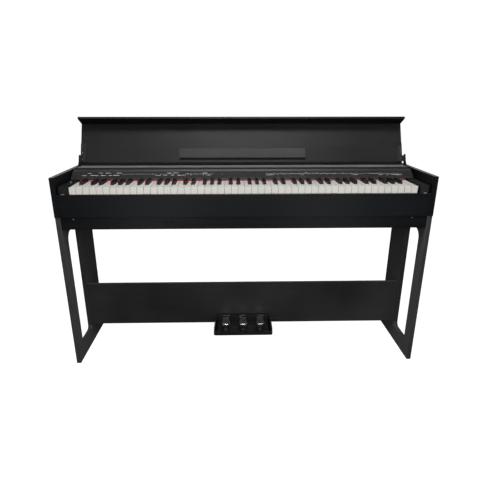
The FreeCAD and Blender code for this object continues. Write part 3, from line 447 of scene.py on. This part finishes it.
def piece(name, mesh, material, body, stands_for=()):
    """A new piece from a bmesh, riding on a body and finished from a slot."""
    data = bpy.data.meshes.new(name)
    bmesh.ops.recalc_face_normals(mesh, faces=mesh.faces)
    mesh.to_mesh(data)
    mesh.free()
    obj = bpy.data.objects.new(name, data)
    bpy.context.scene.collection.objects.link(obj)
    data.materials.append(material)
    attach(obj, body)
    if stands_for:
        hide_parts(*stands_for)
    return obj


def smooth(obj, angle=40.0):
    """Shade rounded faces smoothly and keep the real corners crisp."""
    obj.data.shade_smooth()
    obj.data.set_sharp_from_angle(angle=radians(angle))


def loft(mesh, rings, closed=True):
    """Skin equal rings of points, and cap both ends."""
    made = [[mesh.verts.new(point) for point in ring] for ring in rings]
    count = len(made[0])
    for low, high in zip(made, made[1:]):
        for i in range(count):
            j = (i + 1) % count
            mesh.faces.new((low[i], low[j], high[j], high[i]))
    if closed:
        mesh.faces.new(made[0])
        mesh.faces.new(made[-1])


def turned(mesh, profile, place, around=24):
    """Revolve (radius, height) points about the local Z axis of a placing matrix."""
    rings = []
    for radius, height in profile:
        ring = []
        for i in range(around):
            turn = 2 * pi * i / around
            ring.append(place @ Vector((radius * cos(turn), radius * sin(turn), height)))
        rings.append(ring)
    loft(mesh, rings)


def slab(mesh, place, width, depth, height):
    """A thin block standing on the local XY plane of a placing matrix, its top a little smaller."""
    rings = []
    for level, inset in ((0.0, 0.0), (height * 0.6, 0.0), (height, min(width, depth) * 0.08)):
        x = width / 2 - inset
        y = depth / 2 - inset
        rings.append([place @ Vector(corner) for corner in
                      ((-x, -y, level), (x, -y, level), (x, y, level), (-x, y, level))])
    loft(mesh, rings)


def facing(origin, normal):
    """A placing matrix whose local Z points along the normal."""
    return Matrix.Translation(origin) @ Vector(normal).to_track_quat("Z", "Y").to_matrix().to_4x4()


def centre_of(low, high):
    return (Vector(low) + Vector(high)) / 2


# ================================================================ screws
def cross_head(mesh, place, radius, height):
    """Domed screw head with a cross recess cut into it."""
    around = 24
    levels = ((1.0, 0.0), (1.0, 0.25), (0.93, 0.55), (0.78, 0.82), (0.58, 0.96))
    rings = []
    for share, level in levels:
        rings.append([place @ Vector((radius * share * cos(2 * pi * i / around),
                                      radius * share * sin(2 * pi * i / around),
                                      height * level)) for i in range(around)])
    arm = radius * 0.5
    half = radius * 0.13
    floor = height * 0.35
    for level in (height * 0.97, floor):
        ring = []
        for i in range(around):
            turn = 2 * pi * i / around
            x, y = cos(turn), sin(turn)
            on_arm = min(abs(x), abs(y)) < 0.3
            reach = arm if on_arm else half * 1.6
            px, py = x * reach, y * reach
            if on_arm:
                px = max(-half, min(half, px)) if abs(x) < abs(y) else px
                py = max(-half, min(half, py)) if abs(y) < abs(x) else py
            ring.append(place @ Vector((px, py, level)))
        rings.append(ring)
    loft(mesh, rings)


def hex_bolt_head(mesh, place, radius, height):
    """Button head with a six-sided socket."""
    around = 24
    rings = []
    for share, level in ((1.0, 0.0), (1.0, 0.35), (0.92, 0.7), (0.75, 0.95), (0.6, 1.0)):
        rings.append([place @ Vector((radius * share * cos(2 * pi * i / around),
                                      radius * share * sin(2 * pi * i / around),
                                      height * level)) for i in range(around)])
    for level in (1.0, 0.3):
        ring = []
        for i in range(around):
            turn = 2 * pi * i / around
            within = (turn % (pi / 3)) - pi / 6
            reach = radius * 0.42 / cos(within)
            ring.append(place @ Vector((reach * cos(turn), reach * sin(turn), height * level)))
        rings.append(ring)
    loft(mesh, rings)


def lid_screw_places():
    """Six places on the two lid brackets, square to the open lid."""
    low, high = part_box("lid_screws")
    out = Vector((0.0, -cos(LID_TILT), sin(LID_TILT)))
    up = Vector((0.0, sin(LID_TILT), cos(LID_TILT)))
    bottom = Vector((0.0, low.y + LID_SCREW_R * sin(LID_TILT), low.z + LID_SCREW_R * cos(LID_TILT)))
    places = []
    for x in (low.x + LID_SCREW_R, high.x - LID_SCREW_R):
        for step in LID_SCREW_STEPS:
            seat = Vector((x, bottom.y, bottom.z)) + up * step
            places.append(facing(seat + Vector((0, LID_SCREW_RISE * cos(LID_TILT), 0)), out))
    return places


def bracket_screw_places():
    """Screws of the four corner brackets: one into the backboard, one into the leg."""
    low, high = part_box("backboard")
    rear = high.y + 3.0 * MM
    places = []
    for z in (low.z + 40.0 * MM, high.z - 40.0 * MM):
        for side in (-1.0, 1.0):
            on_board = Vector((side * (high.x - 18.0 * MM), rear, z))
            on_leg = Vector((side * (high.x - 3.0 * MM), rear + 18.0 * MM, z))
            places.append(facing(on_board, (0, 1, 0)))
            places.append(facing(on_leg, (-side, 0, 0)))
    return places


def rear_screw_places():
    """Two rows of seven screws round the rear panel."""
    low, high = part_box("rear_panel")
    step = (high.x - low.x - 2 * PANEL_SCREW_IN) / 6
    return [facing((low.x + PANEL_SCREW_IN + i * step, high.y, z), (0, 1, 0))
            for i in range(7) for z in (low.z + 10.0 * MM, high.z - 10.0 * MM)]


def build_screws(colours):
    steel = plated_steel("Plated screw steel", colours.steel, 0.28)
    mesh = bmesh.new()
    for place in lid_screw_places():
        cross_head(mesh, place, LID_SCREW_R - 0.05 * MM, LID_SCREW_RISE - 0.1 * MM)
    dull = plated_steel("Dull screw steel", shade(colours.steel, 0.45), 0.42)
    smooth(piece("lid_screw_heads", mesh, dull, "lid", ("lid_screws",)))
    mesh = bmesh.new()
    for place in bracket_screw_places():
        cross_head(mesh, place, BOARD_SCREW_R, 2.4 * MM)
    for place in rear_screw_places():
        cross_head(mesh, place, PANEL_SCREW_R, 1.7 * MM)
    smooth(piece("cabinet_screw_heads", mesh, steel, "cabinet", ("cabinet_screws",)))
    low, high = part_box("case_bolts")
    mesh = bmesh.new()
    rise = high.y - low.y
    for x in (low.x + CASE_BOLT_R, high.x - CASE_BOLT_R):
        hex_bolt_head(mesh, facing((x, high.y, (low.z + high.z) / 2), (0, -1, 0)), CASE_BOLT_R, rise)
    smooth(piece("case_bolt_heads", mesh, dull, "cabinet", ("case_bolts",)))


# ================================================================ cabinet
def build_boards(sizes, colours):
    body = laminate("Body laminate, grain across", colours.body, 0, 0.40)
    # the fifth argument of these three is painted light on level tops
    lower = laminate("Backboard laminate", colours.backboard, 0, 0.44, 0.5)
    top = laminate("Top laminate", colours.body, 0, 0.42, 0.95)
    sides = laminate("Body laminate, grain front to back", colours.body, 1, 0.42, 0.8)
    # the leg frames get painted light on their sides
    legs = laminate("Leg laminate, grain upright", colours.legs, 2, 0.46, side_light=0.55)
    raw = chipboard("Raw board", (0.30, 0.20, 0.11))
    finished(("front_rail", "lower_case", "rear_panel"), body, sizes.board_edge)
    finished(("backboard",), lower, sizes.board_edge)
    finished(("top_board",), top, sizes.board_edge)
    finished(SIDE_BOARDS, sides, sizes.board_edge)
    finished(LEG_FRAMES, legs, sizes.board_edge)
    finished(("keybed_board",), raw, sizes.board_edge)
    coat = painted_metal("Bracket coat", (0.012, 0.012, 0.013), 0.45)
    finished(("corner_brackets",), coat, 0.4 * MM)


# ================================================================ lid
def build_lid(sizes, colours):
    inside = laminate("Lid laminate", colours.lid, 0, 0.44)
    shelf = laminate("Music ledge laminate", colours.ledge, 0, 0.46)
    coat = painted_metal("Lid bracket coat", (0.010, 0.010, 0.011), 0.40)
    finished(("lid_panel", "lid_lip"), inside, sizes.board_edge)
    finished(("music_ledge",), shelf, 0.6 * MM)
    finished(LID_ARMS + ("ledge_hinges",), coat, 0.3 * MM)


# ================================================================ keys
def build_keys(sizes, colours):
    ivory = white_key_plastic("White key plastic", colours.white_keys)
    ebony = black_key_plastic("Black key plastic", colours.black_keys)
    finished(WHITE_KEYS, ivory, sizes.white_edge, 3)
    finished(BLACK_KEYS, ebony, sizes.black_edge, 3)


def build_key_works(colours):
    frame_coat = painted_metal("Key frame coat", (0.03, 0.03, 0.032), 0.5)
    finished(("key_frame",), frame_coat, 0.5 * MM)
    paint("key_pivot_rod", plated_steel("Key rod steel", colours.steel, 0.3))
    paint("key_contacts", solder_mask("Contact board lacquer", (0.02, 0.11, 0.04)))


def build_felt(colours):
    """A long pressed-felt strip: crowned, with a slightly wandering front edge."""
    low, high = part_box("key_felt")
    wool = wool_felt("Red wool felt", colours.felt)
    mesh = bmesh.new()
    steps = 240
    depth = high.y - low.y
    tall = high.z - low.z
    rings = []
    for i in range(steps + 1):
        x = low.x + (high.x - low.x) * i / steps
        sway = 0.18 * MM * sin(i * 0.37) + 0.12 * MM * sin(i * 1.31 + 1.0)
        lift = 0.15 * MM * sin(i * 0.53 + 2.0)
        front = low.y + 0.4 * MM + sway
        top = high.z - 0.3 * MM + lift
        rings.append([Vector((x, front, low.z)),
                      Vector((x, front - 0.15 * MM, low.z + tall * 0.35)),
                      Vector((x, front + 0.1 * MM, low.z + tall * 0.72)),
                      Vector((x, front + depth * 0.10, top - tall * 0.07)),
                      Vector((x, front + depth * 0.35, top)),
                      Vector((x, high.y, top)),
                      Vector((x, high.y, low.z))])
    loft(mesh, rings)
    smooth(piece("felt_strip", mesh, wool, "cabinet", ("key_felt",)), 60.0)


def rounded_ring(x, y, z, width, depth, radius, steps=4):
    """Points round a rectangle with rounded corners, flat at height z."""
    points = []
    for corner, (sx, sy) in enumerate(((1, 1), (-1, 1), (-1, -1), (1, -1))):
        for i in range(steps + 1):
            turn = (corner + i / steps) * pi / 2
            points.append(Vector((x + sx * (width / 2 - radius) + radius * cos(turn),
                                  y + sy * (depth / 2 - radius) + radius * sin(turn), z)))
    return points


def soft_pad(mesh, x, y, low, high, width, depth, radius):
    """A moulded pad: straight sides, a faint waist and a rounded top."""
    rings = []
    for level, inset in ((0.0, 0.0), (0.5, 0.3), (0.8, 0.15), (0.95, 0.7), (1.0, 1.6)):
        rings.append(rounded_ring(x, y, low + (high - low) * level, width - 2 * inset * MM,
                                  depth - 2 * inset * MM, radius))
    loft(mesh, rings)


def build_cushions(colours):
    """Two low pads on the front rail that the shut lid lands on."""
    low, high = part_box("lid_cushions")
    rubber = soft_rubber("Cushion rubber", colours.cushions)
    width = 12.0 * MM
    mesh = bmesh.new()
    for x in (low.x + width / 2, high.x - width / 2):
        soft_pad(mesh, x, (low.y + high.y) / 2, low.z, high.z, width, high.y - low.y, 1.7 * MM)
    smooth(piece("lid_landing_cushions", mesh, rubber, "cabinet", ("lid_cushions",)), 60.0)


# ================================================================ key blocks and controls
def build_blocks(colours):
    plastic = moulded_plastic("Key block plastic", (0.012, 0.012, 0.012), 0.42)
    finished(("key_block_left", "key_block_right"), plastic, 0.6 * MM)
    black = moulded_plastic("Button plastic", (0.010, 0.010, 0.010), 0.35)
    grey = moulded_plastic("Slider plastic", (0.16, 0.16, 0.16), 0.40)
    finished(("power_button",), black, 0.3 * MM)
    finished(("volume_slider",), grey, 0.3 * MM)
    low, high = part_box("power_button")
    mesh = bmesh.new()
    place = facing((centre_of(low, high).x, centre_of(low, high).y, high.z - 0.3 * MM), (0, 0, 1))
    turned(mesh, [(1.7 * MM, 0.0), (1.7 * MM, 0.15 * MM), (1.2 * MM, 0.28 * MM)], place)
    lamp = lamp_lens("Power lamp", colours.lamp, 1.5)
    smooth(piece("power_lamp", mesh, lamp, "power_push"), 50.0)


# ================================================================ control panel
class PanelFace:
    """Places on the sloping face of the control panel, measured up from its lower edge."""

    def __init__(self):
        low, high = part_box("control_panel")
        self.start = Vector((0.0, low.y, low.z + PANEL_LIP_RISE))
        end = Vector((0.0, low.y + PANEL_FACE_RUN, high.z - PANEL_FACE_DROP))
        self.slope = (end - self.start).normalized()
        self.length = (end - self.start).length
        self.normal = Vector((1, 0, 0)).cross(self.slope)

    def place(self, x, up):
        """Local X along the panel, local Y up the slope, local Z out of the face."""
        spot = self.start + self.slope * up + Vector((x, 0, 0))
        turn = Matrix((Vector((1, 0, 0)), self.slope, self.normal)).transposed()
        return Matrix.Translation(spot) @ turn.to_4x4()


INK = 0.08 * MM                # printed marks stand this far proud
ROW_HIGH = 30.5 * MM
ROW_LINE = 24.0 * MM
ROW_LOW = 17.0 * MM
TICK = 4.6 * MM
TICK_WIDTH = 1.4 * MM
TICK_RISE = TICK * 0.6         # middle of a tick above or below the line
# Groups of dashes beside the scale lines: middle and width along the panel, in mm.
UPPER_LABELS = ((-586, 14), (-545, 16), (-517, 20), (-475, 18), (-285, 15), (-258, 21),
                (-149, 17), (238, 10))
LOWER_LABELS = ((-604, 17), (-576, 13), (-558, 15), (-532, 20), (-505, 13), (-484, 23),
                (-327, 17), (-300, 16), (-272, 10), (-237, 31), (-135, 15), (98, 27),
                (222, 9), (426, 20), (522, 15), (548, 6), (585, 40))
SCALE_LINES = ((-466, -333), (-318, -262), (-224, -121), (80, 604))
SCALE_OCTAVES = (16, 30, 37)   # first white key of each octave that carries ticks
SHARP_PLACES = (0.9, 2.1, 3.86, 5.0)
NATURAL_PLACES = (1.5, 2.5, 3.5, 6.5)


def dashes(mesh, face, middle, width, up):
    """A line of small dashes of uneven length that stands for a printed label."""
    x = (middle - width / 2) * MM
    end = (middle + width / 2) * MM
    lengths = (1.5, 0.9, 1.3, 1.1, 0.8, 1.6)
    i = abs(int(middle)) % len(lengths)
    while x < end - 0.5 * MM:
        length = lengths[i % len(lengths)] * MM
        slab(mesh, face.place(x + length / 2, up), length, 2.6 * MM, INK)
        x += length + 0.75 * MM
        i += 1


def scale_ticks(mesh, face, first_key, left):
    """Ticks over the black keys and under some white keys of one octave."""
    start = left + first_key * WHITE_PITCH
    for step in SHARP_PLACES:
        slab(mesh, face.place(start + step * WHITE_PITCH, ROW_LINE + TICK_RISE),
             TICK_WIDTH, TICK, INK)
    for step in NATURAL_PLACES:
        slab(mesh, face.place(start + step * WHITE_PITCH, ROW_LINE - TICK_RISE),
             TICK_WIDTH, TICK, INK)


def build_panel(sizes, colours):
    plastic = moulded_plastic("Control panel plastic", colours.panel, 0.46, 0.5)
    finished(("control_panel",), plastic, sizes.panel_edge, 3)
    face = PanelFace()
    mesh = bmesh.new()
    for middle, width in UPPER_LABELS:
        dashes(mesh, face, middle, width, ROW_HIGH)
    for middle, width in LOWER_LABELS:
        dashes(mesh, face, middle, width, ROW_LOW)
    for start, end in SCALE_LINES:
        middle = (start + end) / 2 * MM
        slab(mesh, face.place(middle, ROW_LINE), (end - start) * MM, 0.7 * MM, INK)
    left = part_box("white_keys_bass")[0].x
    for first_key in SCALE_OCTAVES:
        scale_ticks(mesh, face, first_key, left)
    ink = printed_ink("Printed marks", colours.marks)
    piece("panel_marks", mesh, ink, "cabinet")


# ================================================================ pedals
def build_pedals(colours):
    chrome = satin_chrome("Pedal chrome", colours.chrome, 0.22)
    finished(PEDALS, chrome, 0.8 * MM, 3)
    plastic = moulded_plastic("Pedal housing plastic", (0.012, 0.012, 0.012), 0.38, 0.5)
    finished(("pedal_housing",), plastic, 1.2 * MM, 3)
    steel = plated_steel("Pedal rod steel", colours.steel, 0.3)
    paint("pedal_rod", steel)
    paint("pedal_springs", steel)
    low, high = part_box("pedal_stop_pads")
    rubber = soft_rubber("Pedal pad rubber", (0.030, 0.030, 0.030))
    mesh = bmesh.new()
    for i in range(3):
        x = low.x + PAD_WIDTH / 2 + (high.x - low.x - PAD_WIDTH) * i / 2
        soft_pad(mesh, x, (low.y + high.y) / 2, low.z, high.z, PAD_WIDTH, high.y - low.y, 2.5 * MM)
    smooth(piece("pedal_rest_pads", mesh, rubber, "cabinet", ("pedal_stop_pads",)), 50.0)


# ================================================================ sound and sockets
def build_sound():
    cone = paper_cone("Speaker paper", (0.012, 0.012, 0.012))
    finished(("speaker_left", "speaker_right"), cone, 0.3 * MM)
    black = moulded_plastic("Socket plastic", (0.010, 0.010, 0.010), 0.40)
    finished(("speaker_grilles", "jack_plate", "headphone_jacks", "power_supply"), black, 0.4 * MM)
    finished(("main_board",), solder_mask("Main board lacquer", (0.02, 0.11, 0.04)), 0.2 * MM)


# ================================================================ studio
CAMERA_SPOT = (-0.0463, -1.76106, 0.99277)
CAMERA_YAW = 0.02291           # radians towards the treble end
CAMERA_PITCH = 0.36896         # radians below level
CAMERA_LENS = 32.595           # mm on a 36 mm wide sensor
CAMERA_SHIFT = (0.01498, 0.0449)


def camera_matrix():
    forward = Vector((sin(CAMERA_YAW) * cos(CAMERA_PITCH), cos(CAMERA_YAW) * cos(CAMERA_PITCH),
                      -sin(CAMERA_PITCH)))
    right = Vector((cos(CAMERA_YAW), -sin(CAMERA_YAW), 0.0))
    turn = Matrix((right, right.cross(forward), -forward)).transposed()
    return Matrix.Translation(Vector(CAMERA_SPOT)) @ turn.to_4x4()


def add_camera():
    lens = bpy.data.cameras.new("Studio camera")
    lens.sensor_width = 36.0
    lens.lens = CAMERA_LENS
    lens.shift_x, lens.shift_y = CAMERA_SHIFT
    camera = bpy.data.objects.new("studio_camera", lens)
    bpy.context.scene.collection.objects.link(camera)
    camera.matrix_world = camera_matrix()
    bpy.context.scene.camera = camera


def add_sweep(colour, glow):
    """Round sheet of background paper that rises into a dome; it lights nothing by itself."""
    profile = [(0.02, 0.0), (2.0, 0.0), (6.0, 0.0), (11.0, 0.0)]
    for i in range(1, 9):
        turn = pi / 2 * i / 9
        profile.append((11.0 + 3.0 * sin(turn), 3.0 - 3.0 * cos(turn)))
    for i in range(10):
        turn = pi / 2 * i / 10
        profile.append((14.0 * cos(turn), 3.0 + 9.0 * sin(turn)))
    profile.append((0.5, 12.0))
    mesh = bmesh.new()
    turned(mesh, profile, Matrix.Identity(4), around=96)
    data = bpy.data.meshes.new("studio_sweep")
    mesh.to_mesh(data)
    mesh.free()
    sweep = bpy.data.objects.new("studio_sweep", data)
    bpy.context.scene.collection.objects.link(sweep)
    smooth(sweep, 60.0)
    sweep.location.z = -0.0005
    data.materials.append(studio_paper("Studio paper", colour, glow))
    sweep.visible_glossy = False
    sweep.visible_diffuse = False
    sweep.visible_shadow = False


def add_softbox(name, spot, aim, width, height, power):
    light = bpy.data.lights.new(name, "AREA")
    light.shape = "RECTANGLE"
    light.size = width
    light.size_y = height
    light.energy = power
    obj = bpy.data.objects.new(name, light)
    bpy.context.scene.collection.objects.link(obj)
    obj.location = spot
    obj.rotation_mode = "QUATERNION"
    obj.rotation_quaternion = (Vector(aim) - Vector(spot)).to_track_quat("-Z", "Y")


def add_surround(front, back):
    """Soft room light: dim on the player's side, bright behind the piano."""
    world = bpy.data.worlds.new("Studio surround")
    bpy.context.scene.world = world
    world.use_nodes = True
    tree = world.node_tree
    direction = tree.nodes.new("ShaderNodeTexCoord").outputs["Generated"]
    split = tree.nodes.new("ShaderNodeSeparateXYZ")
    tree.links.new(direction, split.inputs["Vector"])
    level = tree.nodes.new("ShaderNodeMapRange")
    level.inputs["From Min"].default_value = -0.1
    level.inputs["From Max"].default_value = 0.6
    level.inputs["To Min"].default_value = front
    level.inputs["To Max"].default_value = back
    tree.links.new(split.outputs["Y"], level.inputs["Value"])
    tree.links.new(level.outputs["Result"], tree.nodes["Background"].inputs["Strength"])


# Name, spot, aim, width and height in metres, and the setting that holds the power.
SOFTBOXES = (
    ("Overhead softbox", (0.0, -0.9, 2.8), (0.0, 0.1, 0.7), 0.9, 0.7, "overhead"),
    ("Front softbox", (0.0, -2.6, 1.5), (0.0, 0.0, 0.6), 1.6, 0.9, "camera_side"),
    ("Right softbox", (1.9, -1.0, 1.6), (-0.5, 0.0, 0.4), 0.7, 0.7, "side"),
    ("Left softbox", (-1.9, -1.0, 1.6), (0.5, 0.0, 0.5), 0.7, 0.7, "fill"),
    ("Low left softbox", (-0.5, -1.3, 0.30), (0.66, 0.1, 0.30), 0.5, 0.4, "low"),
    ("Low right softbox", (0.5, -1.3, 0.30), (-0.66, 0.1, 0.30), 0.5, 0.4, "low"),
)


def build_stage(studio):
    add_camera()
    add_sweep(studio.floor, studio.glow)
    add_surround(studio.front, studio.back)
    for name, spot, aim, width, height, power in SOFTBOXES:
        add_softbox(name, spot, aim, width, height, getattr(studio, power))
    bpy.context.scene.view_settings.view_transform = "Standard"


# ================================================================ settings
def length_setting(name, description, millimetres):
    return FloatProperty(name=name, description=description, default=millimetres * MM,
                         min=0.0, subtype="DISTANCE", unit="LENGTH", precision=5)


def colour_setting(name, description, colour):
    return FloatVectorProperty(name=name, description=description, default=colour,
                               min=0.0, max=1.0, size=3, subtype="COLOR")


def power_setting(name, description, watts):
    return FloatProperty(name=name, description=description, default=watts, min=0.0, unit="POWER")


class PianoSizes(bpy.types.PropertyGroup):
    """Small sizes of the looks"""
    board_edge: length_setting("Board edge", "Rounding along the edges of the boards", 0.8)
    white_edge: length_setting("White key edge", "Rounding of the white key tops", 0.7)
    black_edge: length_setting("Black key edge", "Rounding of the black keys", 1.3)
    panel_edge: length_setting("Panel edge", "Rounding of the control panel's bends", 1.2)


class PianoColours(bpy.types.PropertyGroup):
    """Colours of the visible finishes"""
    body: colour_setting("Body laminate", "Cabinet boards", (0.0036, 0.0044, 0.0056))
    backboard: colour_setting("Backboard laminate", "Lower board", (0.017, 0.017, 0.0172))
    legs: colour_setting("Leg laminate", "Upright leg frames", (0.036, 0.0355, 0.036))
    lid: colour_setting("Lid laminate", "Inside and outside of the lid", (0.0060, 0.0060, 0.0064))
    ledge: colour_setting("Music ledge", "Folding ledge for sheet music", (0.022, 0.022, 0.0225))
    panel: colour_setting("Control panel", "Sloping strip above the keys", (0.017, 0.017, 0.0175))
    white_keys: colour_setting("White keys", "Natural key tops", (0.80, 0.775, 0.73))
    black_keys: colour_setting("Black keys", "Sharp keys", (0.005, 0.005, 0.005))
    felt: colour_setting("Felt", "Strip behind the keys", (0.30, 0.006, 0.012))
    cushions: colour_setting("Cushions", "Landing pads of the lid", (0.16, 0.16, 0.155))
    marks: colour_setting("Marks", "Printed marks on the panel", (0.80, 0.80, 0.78))
    chrome: colour_setting("Pedals", "Metal of the pedals", (0.62, 0.62, 0.63))
    steel: colour_setting("Steel", "Screws and rods", (0.55, 0.55, 0.56))
    lamp: colour_setting("Lamp", "Power lamp", (0.8, 0.02, 0.02))


class PianoStudio(bpy.types.PropertyGroup):
    """Floor and lights"""
    floor: colour_setting("Floor", "Background paper", (0.35, 0.35, 0.35))
    overhead: power_setting("Overhead light", "Softbox above the keys", 38.0)
    camera_side: power_setting("Front light", "Wide softbox near the camera", 27.0)
    low: power_setting("Low lights", "Softboxes near the floor for the legs", 1.2)
    side: power_setting("Right light", "Softbox at the right", 7.0)
    fill: power_setting("Left light", "Softbox at the left", 7.0)
    front: FloatProperty(name="Front", description="Room light from the player's side",
                         default=0.22, min=0.0)
    back: FloatProperty(name="Back", description="Room light from behind the piano",
                        default=0.9, min=0.0)
    glow: FloatProperty(name="Paper glow", description="Light that the background paper gives off",
                        default=1.02, min=0.0)


def settings():
    scene = bpy.context.scene
    return scene.piano_sizes, scene.piano_colours, scene.piano_studio


# ================================================================ operators
class PIANO_OT_boards(bpy.types.Operator):
    """Finish the boards of the cabinet and the legs"""
    bl_idname = "piano.boards"
    bl_label = "Boards"

    def execute(self, context):
        sizes, colours, _ = settings()
        build_boards(sizes, colours)
        return {"FINISHED"}


class PIANO_OT_lid(bpy.types.Operator):
    """Finish the lid, its brackets and the music ledge"""
    bl_idname = "piano.lid"
    bl_label = "Lid and music ledge"

    def execute(self, context):
        sizes, colours, _ = settings()
        build_lid(sizes, colours)
        return {"FINISHED"}


class PIANO_OT_screws(bpy.types.Operator):
    """Replace the plain screws by recessed heads"""
    bl_idname = "piano.screws"
    bl_label = "Screws and bolts"

    def execute(self, context):
        _, colours, _ = settings()
        build_screws(colours)
        return {"FINISHED"}


class PIANO_OT_keys(bpy.types.Operator):
    """Finish the keys and the works under them"""
    bl_idname = "piano.keys"
    bl_label = "Keys"

    def execute(self, context):
        sizes, colours, _ = settings()
        build_keys(sizes, colours)
        build_key_works(colours)
        return {"FINISHED"}


class PIANO_OT_felt(bpy.types.Operator):
    """Make the red felt strip and the lid's landing cushions"""
    bl_idname = "piano.felt"
    bl_label = "Felt and cushions"

    def execute(self, context):
        _, colours, _ = settings()
        build_felt(colours)
        build_cushions(colours)
        return {"FINISHED"}


class PIANO_OT_blocks(bpy.types.Operator):
    """Finish the key blocks with the power button and the volume slider"""
    bl_idname = "piano.blocks"
    bl_label = "Key blocks and controls"

    def execute(self, context):
        _, colours, _ = settings()
        build_blocks(colours)
        return {"FINISHED"}


class PIANO_OT_panel(bpy.types.Operator):
    """Finish the control panel and print its marks"""
    bl_idname = "piano.panel"
    bl_label = "Control panel"

    def execute(self, context):
        sizes, colours, _ = settings()
        build_panel(sizes, colours)
        return {"FINISHED"}


class PIANO_OT_pedals(bpy.types.Operator):
    """Finish the pedals and their housing"""
    bl_idname = "piano.pedals"
    bl_label = "Pedals"

    def execute(self, context):
        _, colours, _ = settings()
        build_pedals(colours)
        return {"FINISHED"}


class PIANO_OT_sound(bpy.types.Operator):
    """Finish the speakers, sockets and boards"""
    bl_idname = "piano.sound"
    bl_label = "Sound and sockets"

    def execute(self, context):
        build_sound()
        return {"FINISHED"}


class PIANO_OT_stage(bpy.types.Operator):
    """Make the floor, the lights and the camera"""
    bl_idname = "piano.stage"
    bl_label = "Studio"

    def execute(self, context):
        _, _, studio = settings()
        build_stage(studio)
        return {"FINISHED"}


OPERATORS = (PIANO_OT_boards, PIANO_OT_lid, PIANO_OT_screws, PIANO_OT_keys, PIANO_OT_felt,
             PIANO_OT_blocks, PIANO_OT_panel, PIANO_OT_pedals, PIANO_OT_sound, PIANO_OT_stage)


class PIANO_PT_looks(bpy.types.Panel):
    """Sidebar panel with every piece and setting"""
    bl_label = "Digital piano"
    bl_idname = "PIANO_PT_looks"
    bl_space_type = "VIEW_3D"
    bl_region_type = "UI"
    bl_category = "Piano"

    def draw(self, context):
        layout = self.layout
        for group in (context.scene.piano_sizes, context.scene.piano_colours,
                      context.scene.piano_studio):
            box = layout.box()
            for name in group.__annotations__:
                box.prop(group, name)
        for operator in OPERATORS:
            layout.operator(operator.bl_idname)


CLASSES = (PianoSizes, PianoColours, PianoStudio) + OPERATORS + (PIANO_PT_looks,)


def register():
    for cls in CLASSES:
        bpy.utils.register_class(cls)
    bpy.types.Scene.piano_sizes = PointerProperty(type=PianoSizes)
    bpy.types.Scene.piano_colours = PointerProperty(type=PianoColours)
    bpy.types.Scene.piano_studio = PointerProperty(type=PianoStudio)


def unregister():
    del bpy.types.Scene.piano_studio
    del bpy.types.Scene.piano_colours
    del bpy.types.Scene.piano_sizes
    for cls in reversed(CLASSES):
        bpy.utils.unregister_class(cls)


def main():
    register()
    bpy.ops.piano.boards()
    bpy.ops.piano.lid()
    bpy.ops.piano.screws()
    bpy.ops.piano.keys()
    bpy.ops.piano.felt()
    bpy.ops.piano.blocks()
    bpy.ops.piano.panel()
    bpy.ops.piano.pedals()
    bpy.ops.piano.sound()
    bpy.ops.piano.stage()


if __name__ == "__main__":
    main()
